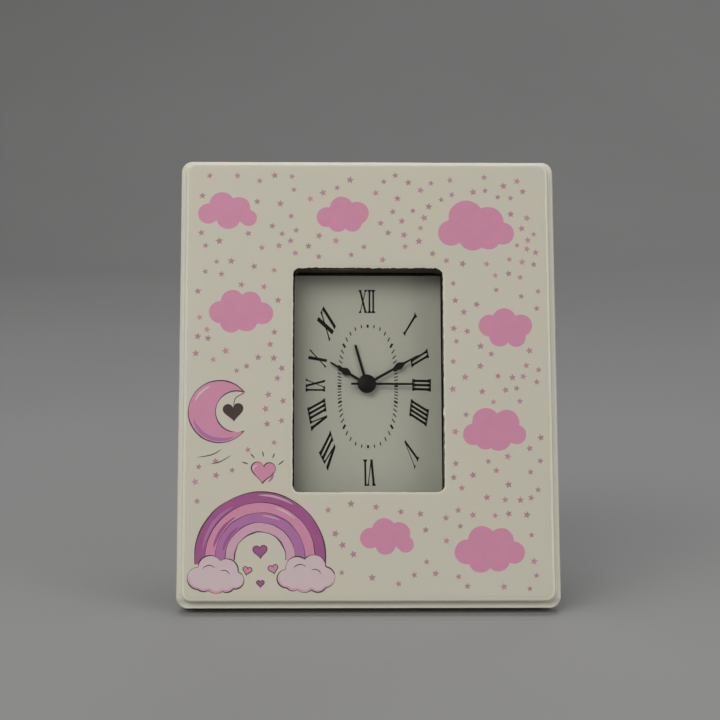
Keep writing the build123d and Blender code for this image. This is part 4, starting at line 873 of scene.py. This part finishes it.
def make_stars():
    rnd = random.Random(41)
    outlines = [cloud_outline(k) for k in range(len(CLOUDS))]
    placed = []
    bm = bmesh.new()
    tries = 0
    while len(placed) < 195 and tries < 60000:
        tries += 1
        x = rnd.uniform(-68.5, 68.5)
        v = rnd.uniform(7.0, 173.5)
        if abs(x) < 33.2 and 41.8 < v < 138.2:
            continue
        if hypot(x - RAINBOW[0], v - RAINBOW[1]) < 30.5 or (v < 14 and x < -16):
            continue
        if hypot(x - RAINBOW[0] - 1.0, v - 53.0) < 9.5:
            continue
        if hypot(x - MOON[0], v - MOON[1]) < 17.5:
            continue
        if any(inside((x, v), o, 2.7) for o in outlines):
            continue
        # a looser scatter low on the right, thicker along the top
        density = 3.6 + 2.2 * (0.5 + noise1(x, v, 26.0, 5.5)) + (0.6 if v < 60 else 0.0)
        if any(hypot(x - a, v - b) < density for a, b in placed):
            continue
        placed.append((x, v))
        prism(bm, [star_loop(x, v, rnd.uniform(1.24, 1.62), rnd.uniform(-20, 20))], L1, L0)
    return put("print_stars", bm, ["star"])


def heart_loop(x, v, size, turn=0.0, n=44):
    pts = []
    c, s = cos(radians(turn)), sin(radians(turn))
    for i in range(n):
        t = 2 * pi * i / n
        hx = 16 * sin(t) ** 3
        hy = 13 * cos(t) - 5 * cos(2 * t) - 2 * cos(3 * t) - cos(4 * t) + 2.0
        hx, hy = hx * size / 32, hy * size / 32
        pts.append((x + hx * c - hy * s, v + hx * s + hy * c))
    return pts


def arc_line(cx, cv, r, a0, a1, n, seed, wobble):
    out = []
    for i in range(n + 1):
        a = radians(a0 + (a1 - a0) * i / n)
        rr = r + wobble * noise1(cos(a) * 4, sin(a) * 4, 1.0, seed)
        out.append((cx + rr * cos(a), cv + rr * sin(a)))
    return out


def make_rainbow():
    cx, cv = RAINBOW
    edges = [25.6, 21.5, 17.5, 13.6, 10.0]
    looks = ["magenta", "pink", "lilac", "blush"]
    lines = [arc_line(cx, cv, r, -6, 186, 90, 50.0 + k, 0.22) for k, r in enumerate(edges)]
    groups = {k: bmesh.new() for k in ("magenta", "pink", "lilac", "blush", "pale", "dark")}
    for k, look in enumerate(looks):
        prism(groups[look], [lines[k] + list(reversed(lines[k + 1]))], L1, L0)
    # soft shading along the left of each band and light strokes along the top
    for k, (look, a0, a1) in enumerate((("lilac", 118, 172), ("magenta", 122, 168), ("magenta", 126, 170))):
        mid = edges[k] - (edges[k] - edges[k + 1]) * 0.74
        for loop in stroke_loops(arc_line(cx, cv, mid, a0, a1, 30, 60 + k, 0.15), taper(1.25, 0.05), 4.0 + k):
            prism(groups[look], [loop], L2, L0)
    for k, (a0, a1, w) in enumerate(((58, 92, 0.85), (48, 74, 0.7), (62, 88, 0.6))):
        mid = edges[k] - (edges[k] - edges[k + 1]) * 0.30
        for loop in stroke_loops(arc_line(cx, cv, mid, a0, a1, 24, 70 + k, 0.1), taper(w, 0.05), 9.0 + k):
            prism(groups["blush" if k != 1 else "pale"], [loop], L2, L0)
    for k, line in enumerate(lines):
        width = 0.46 if k in (0, 4) else 0.30
        for loop in stroke_loops(line, lambda t, w=width: w * (0.8 + 0.35 * sin(t * 17.0 + k)), 20.0 + k):
            prism(groups["dark"], [loop], L3 - 0.0012 * k, L0)
    # a bank of cloud under each end
    feet = [
        ((cx - 17.6, cv - 6.6), [(-6.4, -1.4, 4.3), (-1.8, 2.7, 4.7), (4.6, 1.6, 4.5), (8.0, -2.2, 3.4), (0.6, -2.9, 4.4), (-4.2, -3.2, 3.4), (4.6, -3.6, 3.3)]),
        ((cx + 17.9, cv - 6.3), [(-7.6, -1.9, 3.6), (-3.4, 2.2, 4.5), (3.0, 2.6, 4.7), (7.2, -1.4, 4.1), (-0.6, -3.0, 4.3), (4.6, -3.6, 3.6), (-5.0, -3.8, 2.9)]),
    ]
    for k, (mid, lobes) in enumerate(feet):
        circles = [(mid[0] + x, mid[1] + y, r) for x, y, r in lobes]
        full = blob(circles, mid, 240, 90.0 + k, 0.008)
        prism(groups["pale"], [full], L4, L0)
        lower = blob([(x, y - 0.1, r - 0.55) for x, y, r in circles], mid, 200, 90.0 + k, 0.008)
        upper = blob([(x + 0.7, y + 1.25, r - 0.35) for x, y, r in circles], mid, 200, 91.0 + k, 0.008)
        shade = [p for p in lower if not inside(p, upper)]
        if len(shade) > 12:
            shade.sort(key=lambda p: p[0])
            keep = [p for p in shade if p[1] < mid[1] + 0.5]
            line = curve(keep[:: max(1, len(keep) // 16)], 6)
            for loop in stroke_loops(line, taper(1.15, 0.02), 33.0 + k):
                prism(groups["blush"], [loop], L4 - 0.006, L0)
        out, hole = stroke_loops(full, lambda t, k=k: 0.42 * (0.75 + 0.45 * sin(t * 23.0 + k)), 24.0 + k, closed=True)
        prism(groups["dark"], [out, hole], L4 - 0.010, L0)
        for i, (dx, dy, r, a0, a1) in enumerate(((-2.2, 0.6, 3.0, 40, 150), (3.4, -0.9, 2.6, 20, 120))):
            line = arc_line(mid[0] + dx, mid[1] + dy, r, a0, a1, 14, 95 + i, 0.1)
            for loop in stroke_loops(line, taper(0.34, 0.1), 36.0 + i):
                prism(groups["dark"], [loop], L4 - 0.014, L0)
    # hearts under the arch, and one above it with short rays
    for k, (hx, hv, s, turn, look) in enumerate(((cx, cv + 2.2, 5.6, 4, "magenta"), (cx - 5.0, cv - 5.2, 3.6, -12, "pink"), (cx + 5.2, cv - 4.6, 3.9, 14, "pink"), (cx + 0.2, cv - 10.2, 3.0, 0, "magenta"))):
        prism(groups[look], [heart_loop(hx, hv, s, turn)], L2, L0)
        out, hole = stroke_loops(heart_loop(hx, hv, s, turn), lambda t: 0.30, 27.0 + k, closed=True)
        prism(groups["dark"], [out, hole], L3 - 0.006, L0)
    top = (cx + 1.0, cv + 33.2)
    prism(groups["pink"], [heart_loop(top[0], top[1], 9.6, -4)], L2, L0)
    for loop in stroke_loops(arc_line(top[0] - 2.1, top[1] + 1.1, 1.9, 95, 190, 12, 71, 0.05), taper(0.7, 0.05), 5.0):
        prism(groups["pale"], [loop], L3 + 0.003, L0)
    for loop in stroke_loops(arc_line(top[0] + 0.2, top[1] - 0.4, 3.6, -62, 12, 16, 72, 0.05), taper(0.9, 0.05), 6.0):
        prism(groups["lilac"], [loop], L3 + 0.003, L0)
    out, hole = stroke_loops(heart_loop(top[0], top[1], 9.6, -4), lambda t: 0.40 * (0.8 + 0.35 * sin(t * 19.0)), 29.0, closed=True)
    prism(groups["dark"], [out, hole], L3, L0)
    for k, a in enumerate((28, 58, 90, 121, 150)):
        r0, r1 = 6.6 + 0.3 * sin(k * 2.1), 9.0 + 0.5 * cos(k * 1.7)
        line = [(top[0] + r * cos(radians(a + (r - 7) * 1.2)), top[1] + r * sin(radians(a + (r - 7) * 1.2))) for r in (r0, (r0 + r1) / 2, r1)]
        for loop in stroke_loops(curve(line, 5), taper(0.42, 0.15), 41.0 + k):
            prism(groups["dark"], [loop], L3, L0)
    return groups


def make_moon(groups):
    cx, cv = MOON
    # crescent, open to the right
    outer = arc_line(cx, cv, 12.4, 38, 322, 70, 81.0, 0.12)
    ix, r2 = cx + 6.0, 10.2
    a_end = atan2(outer[-1][1] - cv, outer[-1][0] - ix)
    a_start = atan2(outer[0][1] - cv, outer[0][0] - ix)
    inner = []
    n = 56
    a0, a1 = a_end + 2 * pi if a_end < 0 else a_end, a_start
    for i in range(1, n):
        a = a0 + (a1 - a0) * i / n
        t = i / n
        rr0 = hypot(outer[-1][0] - ix, outer[-1][1] - cv) * (1 - t) + hypot(outer[0][0] - ix, outer[0][1] - cv) * t
        rr = rr0 - 0.9 * sin(pi * t)
        inner.append((ix + rr * cos(a), cv + rr * sin(a)))
    crescent = outer + inner
    prism(groups["pink"], [crescent], L1, L0)
    for loop in stroke_loops(arc_line(cx + 0.5, cv, 11.2, 196, 298, 30, 83.0, 0.1), taper(1.5, 0.03), 8.0):
        prism(groups["lilac"], [loop], L2, L0)
    for loop in stroke_loops(arc_line(cx + 0.3, cv, 10.9, 112, 158, 22, 84.0, 0.1), taper(0.9, 0.03), 9.0):
        prism(groups["pale"], [loop], L2, L0)
    out, hole = stroke_loops(crescent, lambda t: 0.44 * (0.8 + 0.3 * sin(t * 21.0)), 44.0, closed=True)
    prism(groups["dark"], [out, hole], L3, L0)
    # a dark heart hangs from the upper tip on a thread
    hx, hv = cx + 5.4, cv - 0.4
    thread = curve([(outer[0][0] - 0.2, outer[0][1] - 0.2), (hx + 0.9, cv + 5.4), (hx + 0.1, hv + 3.0)], 8)
    for loop in stroke_loops(thread, lambda t: 0.30, 46.0):
        prism(groups["dark"], [loop], L3, L0)
    prism(groups["dark"], [heart_loop(hx, hv, 8.2, 5)], L3 - 0.004, L0)
    # two short tail lines trail off below
    for k, pts in enumerate((((cx + 1.0, cv - 15.0), (cx - 3.0, cv - 17.2), (cx - 8.6, cv - 18.2)), ((cx + 4.6, cv - 17.4), (cx + 0.6, cv - 19.8), (cx - 3.4, cv - 20.8)))):
        for loop in stroke_loops(curve(pts, 8), taper(0.36, 0.1), 47.0 + k):
            prism(groups["dark"], [loop], L3, L0)


def make_motifs():
    groups = make_rainbow()
    make_moon(groups)
    for look, bm in groups.items():
        put("print_" + look, bm, [look])


# ===========================================================================
# the dial's print
# ===========================================================================
DIAL = 14.5
NUMERALS = {
    # outer start, outer end, inner end, inner start, as x and height from the middle
    "XII": [(-3.16, 39.21), (3.65, 39.22), (3.61, 29.6), (-3.19, 29.59)],
    "I": [(19.67, 29.94), (20.66, 28.01), (15.58, 20.11), (14.79, 21.4)],
    "II": [(24.58, 15.05), (25.36, 11.19), (18.21, 6.96), (17.74, 10.54)],
    "III": [(26.01, 2.48), (25.96, -2.82), (18.37, -2.47), (18.41, 2.56)],
    "IIII": [(25.17, -10.1), (24.01, -17.16), (17.09, -12.53), (17.87, -5.56)],
    "V": [(20.99, -29.47), (19.03, -34.33), (14.1, -25.71), (16.05, -20.83)],
    "VI": [(3.57, -40.95), (-1.03, -40.95), (-1.2, -30.31), (3.89, -30.31)],
    "VII": [(-15.67, -34.97), (-19.38, -27.49), (-14.76, -18.38), (-12.3, -26.4)],
    "VIII": [(-22.33, -18.98), (-24.07, -9.35), (-16.92, -5.36), (-15.8, -14.44)],
    "IX": [(-24.66, -2.91), (-24.67, 2.57), (-16.85, 2.08), (-16.85, -2.91)],
    "X": [(-23.73, 10.77), (-22.92, 14.72), (-16.04, 10.32), (-16.59, 6.93)],
    "XI": [(-20.23, 26.51), (-17.45, 32.49), (-12.47, 24.01), (-15.17, 17.93)],
}
THICK, BAR, THIN = 0.64, 0.53, 0.27
WEIGHT = {"XII": 1.31, "I": 1.47, "II": 1.56, "III": 1.92, "IIII": 1.79, "V": 1.19, "VI": 1.42,
          "VII": 1.74, "VIII": 1.72, "IX": 1.38, "X": 1.84, "XI": 2.10}
# each stroke: u at the outer end, u at the inner end, width, outer serif, inner serif
# (a serif is how far it runs to each side in u, or None)
STROKES = {
    "XII": [(0.08, 0.42, THICK, (0.09, 0.09), (0.08, 0.10)), (0.42, 0.08, THIN, (0.08, 0.10), (0.08, 0.08)),
            (0.645, 0.645, BAR, (0.125, 0.125), (0.125, 0.125)), (0.87, 0.87, BAR, (0.125, 0.13), (0.125, 0.13))],
    "I": [(0.5, 0.5, BAR, (0.5, 0.5), (0.5, 0.5))],
    "II": [(0.26, 0.26, BAR, (0.26, 0.26), (0.26, 0.26)), (0.76, 0.76, BAR, (0.26, 0.24), (0.26, 0.24))],
    "III": [(0.17, 0.17, BAR, (0.17, 0.17), (0.17, 0.17)), (0.5, 0.5, BAR, (0.18, 0.18), (0.18, 0.18)),
            (0.83, 0.83, BAR, (0.17, 0.17), (0.17, 0.17))],
    "IIII": [(0.125, 0.125, BAR, (0.125, 0.125), (0.125, 0.125)), (0.375, 0.375, BAR, (0.13, 0.13), (0.13, 0.13)),
             (0.625, 0.625, BAR, (0.13, 0.13), (0.13, 0.13)), (0.875, 0.875, BAR, (0.125, 0.125), (0.125, 0.125))],
    "V": [(0.20, 0.42, THICK, (0.20, 0.20), None), (0.86, 0.44, THIN, (0.13, 0.13), None)],
    "VI": [(0.18, 0.417, THICK, (0.18, 0.17), None), (0.68, 0.435, THIN, (0.09, 0.14), None),
           (0.91, 0.91, BAR, (0.12, 0.10), (0.18, 0.17))],
    "VII": [(0.11, 0.22, THICK, (0.11, 0.10), None), (0.42, 0.23, THIN, (0.07, 0.10), None),
            (0.62, 0.60, BAR, (0.13, 0.13), (0.13, 0.13)), (0.87, 0.87, BAR, (0.13, 0.13), (0.13, 0.13))],
    "VIII": [(0.11, 0.185, THICK, (0.11, 0.10), None), (0.36, 0.20, THIN, (0.06, 0.10), None),
             (0.535, 0.51, BAR, (0.10, 0.10), (0.10, 0.10)), (0.725, 0.71, BAR, (0.10, 0.10), (0.10, 0.10)),
             (0.915, 0.91, BAR, (0.10, 0.085), (0.10, 0.09))],
    "IX": [(0.16, 0.16, BAR, (0.16, 0.16), (0.15, 0.15)), (0.46, 0.90, THICK, (0.12, 0.11), (0.10, 0.10)),
           (0.92, 0.37, THIN, (0.10, 0.08), (0.13, 0.10))],
    "X": [(0.12, 0.88, THICK, (0.12, 0.14), (0.14, 0.12)), (0.90, 0.12, THIN, (0.10, 0.10), (0.12, 0.14))],
    "XI": [(0.13, 0.58, THICK, (0.12, 0.10), (0.09, 0.12)), (0.62, 0.07, THIN, (0.10, 0.10), (0.07, 0.10)),
           (0.88, 0.92, BAR, (0.14, 0.12), (0.13, 0.10))],
}


def make_numerals():
    bm = bmesh.new()
    for name, quad in NUMERALS.items():
        tl, tr, br, bl = [Vector(q) for q in quad]
        span = ((tr - tl).length + (br - bl).length) / 2
        tall = ((tl - bl).length + (tr - br).length) / 2
        run = ((tr - tl).normalized() + (br - bl).normalized()).normalized()
        rise = ((tl - bl).normalized() + (tr - br).normalized()).normalized()
        lean = max(abs(run.x * rise.y - run.y * rise.x), 0.45)

        def place(u, t):
            p = (bl.lerp(br, u)).lerp(tl.lerp(tr, u), t)
            return (p.x, 90.0 + p.y)

        level = 0
        for ut, ub, width, st, sb in STROKES[name]:
            h = width * WEIGHT[name] / span / 2 / lean
            level += 1
            w = DIAL - 0.020 - 0.0015 * level
            prism(bm, [[place(ub - h, 0), place(ub + h, 0), place(ut + h, 1), place(ut - h, 1)]], w, DIAL + 0.01)
            thick = 0.24 * WEIGHT[name] / tall
            for serif, end, u in ((st, 1.0, ut), (sb, 0.0, ub)):
                if serif is None:
                    continue
                level += 1
                w = DIAL - 0.020 - 0.0015 * level
                a, b = serif
                t1 = end - thick if end else thick
                t2 = end - 3.2 * thick if end else 3.2 * thick
                du = (ub - ut) * abs(end - t2)
                u2 = u + (du if end else -du)
                loop = [place(u - a, end), place(u + b, end), place(u + b * 0.92, t1), place(u2 + h, t2), place(u2 - h, t2), place(u - a * 0.92, t1)]
                prism(bm, [loop], w, DIAL + 0.01)
    return put("dial_numerals", bm, ["numeral"])


def make_track():
    """Sixty marks round an upright oval, every fifth one bold."""
    bm = bmesh.new()
    cx, cq, power = 0.45, -0.5, 2.55

    def reach(sx, sy, a, b):
        return ((abs(sx) / a) ** power + (abs(sy) / b) ** power) ** (-1.0 / power)

    for i in range(60):
        ang = radians(6 * i)
        sx, sy = sin(ang), cos(ang)
        r0, r1 = reach(sx, sy, 10.72, 24.02), reach(sx, sy, 12.18, 25.28)
        wide = 0.41 if i % 5 == 0 else 0.215
        pts = [(cx + sx * r + sy * t * wide, 90.0 + cq + sy * r - sx * t * wide)
               for r, t in ((r0, -1), (r1, -1), (r1, 1), (r0, 1))]
        prism(bm, [pts], DIAL - 0.018, DIAL + 0.01)
    return put("dial_track", bm, ["numeral"])


# ===========================================================================
# raised marks on the back of the movement
# ===========================================================================
def make_back_marks():
    bm = bmesh.new()
    face = 34.5

    def arrow(cx, cq, r, a0, a1, width=0.70):
        cv = 90.0 + cq
        line = arc_line(cx, cv, r, a0, a1, 26, 0.0, 0.0)
        for loop in stroke_loops(line, lambda t: width, 300.0):
            prism(bm, [loop], face + 0.30, face - 0.05)
        a = radians(a1)
        d = 1 if a1 > a0 else -1
        tip = (cx + r * cos(a + d * 0.27), cv + r * sin(a + d * 0.27))
        b1 = (cx + (r + 1.15) * cos(a), cv + (r + 1.15) * sin(a))
        b2 = (cx + (r - 1.15) * cos(a), cv + (r - 1.15) * sin(a))
        prism(bm, [[tip, b1, b2]], face + 0.302, face - 0.05)

    arrow(-8.31, 14.0, 8.2, 222, 146)
    arrow(11.28, -4.10, 8.2, -40, 40)
    # up and down marks beside the slide switch
    for q, s in ((18.6, 1), (8.0, -1)):
        prism(bm, [[(25.0 - 0.0, 90 + q), (24.0, 90 + q - 1.6 * s), (26.0, 90 + q - 1.6 * s)]], face + 0.24, face - 0.05)
    return put("back_marks", bm, ["mark"])


make_board()
make_plate()
make_film()
make_clouds()
make_stars()
make_motifs()
make_numerals()
make_track()
make_back_marks()


# ===========================================================================
# floor, light and camera
# ===========================================================================
def stage_material():
    t = Tree("pale_floor")
    cloud = t.noise(3.0, 4.0, 0.5)
    c = t.mix(t.span(cloud, 0.3, 0.7), (0.36, 0.36, 0.36), (0.385, 0.385, 0.385))
    return t.surface(c, t.span(cloud, 0.3, 0.7, 0.75, 0.85), 0.0, None, 1.45, 0.3)


def make_stage():
    """A pale floor that curves up into a plain background."""
    mesh = bpy.data.meshes.new("studio_floor")
    rows = [(-4.0, 0.0), (-1.5, 0.0), (0.0, 0.0), (0.9, 0.0), (1.5, 0.0)]
    r = 1.2
    for i in range(1, 19):
        a = radians(90 * i / 18)
        rows.append((1.5 + r * sin(a), r - r * cos(a)))
    rows.append((2.7, 4.5))
    verts, faces = [], []
    for y, z in rows:
        verts += [(-6.0, y, z), (6.0, y, z)]
    for i in range(len(rows) - 1):
        faces.append((2 * i, 2 * i + 1, 2 * i + 3, 2 * i + 2))
    mesh.from_pydata(verts, [], faces)
    mesh.materials.append(stage_material())
    for p in mesh.polygons:
        p.use_smooth = True
    ob = bpy.data.objects.new("studio_floor", mesh)
    bpy.context.scene.collection.objects.link(ob)


make_stage()


def area_light(name, place, target, size, power, colour=(1.0, 1.0, 1.0)):
    data = bpy.data.lights.new(name, "AREA")
    data.shape = "RECTANGLE"
    data.size, data.size_y = size
    data.energy = power
    data.color = colour
    ob = bpy.data.objects.new(name, data)
    bpy.context.scene.collection.objects.link(ob)
    ob.location = place
    ob.rotation_euler = (Vector(target) - Vector(place)).to_track_quat("-Z", "Y").to_euler()
    return ob


area_light("key_light", (-0.75, -1.30, 1.33), (0.0, 0.0, 0.09), (1.3, 1.05), 10.95, (1.0, 0.985, 0.950))
area_light("top_light", (0.0, 0.25, 1.80), (0.0, 0.0, 0.08), (1.4, 0.8), 9.2, (0.98, 0.99, 1.0))
area_light("right_light", (1.45, -1.15, 0.72), (0.0, 0.0, 0.09), (1.1, 1.1), 8.05, (0.99, 0.99, 1.0))
area_light("left_light", (-1.55, -0.90, 0.72), (0.0, 0.0, 0.09), (1.0, 1.1), 4.6, (0.98, 0.985, 1.0))
area_light("back_light", (0.5, 2.5, 1.35), (0.0, 0.05, 0.08), (2.4, 1.5), 12.5)

world = bpy.data.worlds.new("studio")
bpy.context.scene.world = world
world.use_nodes = True
bg = world.node_tree.nodes["Background"]
bg.inputs["Color"].default_value = (0.84, 0.83, 0.80, 1.0)
bg.inputs["Strength"].default_value = 0.11

scene = bpy.context.scene
scene.view_settings.view_transform = "Standard"
scene.view_settings.look = "None"
scene.view_settings.exposure = 0.0
scene.view_settings.gamma = 1.0

cam_data = bpy.data.cameras.new("camera")
cam_data.sensor_width = 36.0
cam_data.sensor_fit = "HORIZONTAL"
cam_data.lens = 1900.0 / 720.0 * 36.0
cam_data.clip_start = 0.01
cam_data.clip_end = 50.0
camera = bpy.data.objects.new("camera", cam_data)
scene.collection.objects.link(camera)
pitch, yaw, roll = radians(7.679), radians(-1.2586), radians(0.2261)
turn = Matrix.Rotation(yaw, 3, "Z")
forward = turn @ Vector((0.0, cos(pitch), -sin(pitch)))
right = turn @ Vector((1.0, 0.0, 0.0))
upper = right.cross(forward)
right, upper = cos(roll) * right + sin(roll) * upper, -sin(roll) * right + cos(roll) * upper
m = Matrix.Identity(4)
for i in range(3):
    m[i][0], m[i][1], m[i][2] = right[i], upper[i], -forward[i]
m[0][3], m[1][3], m[2][3] = -0.019453, -0.759667, 0.197550
camera.matrix_world = m
scene.camera = camera
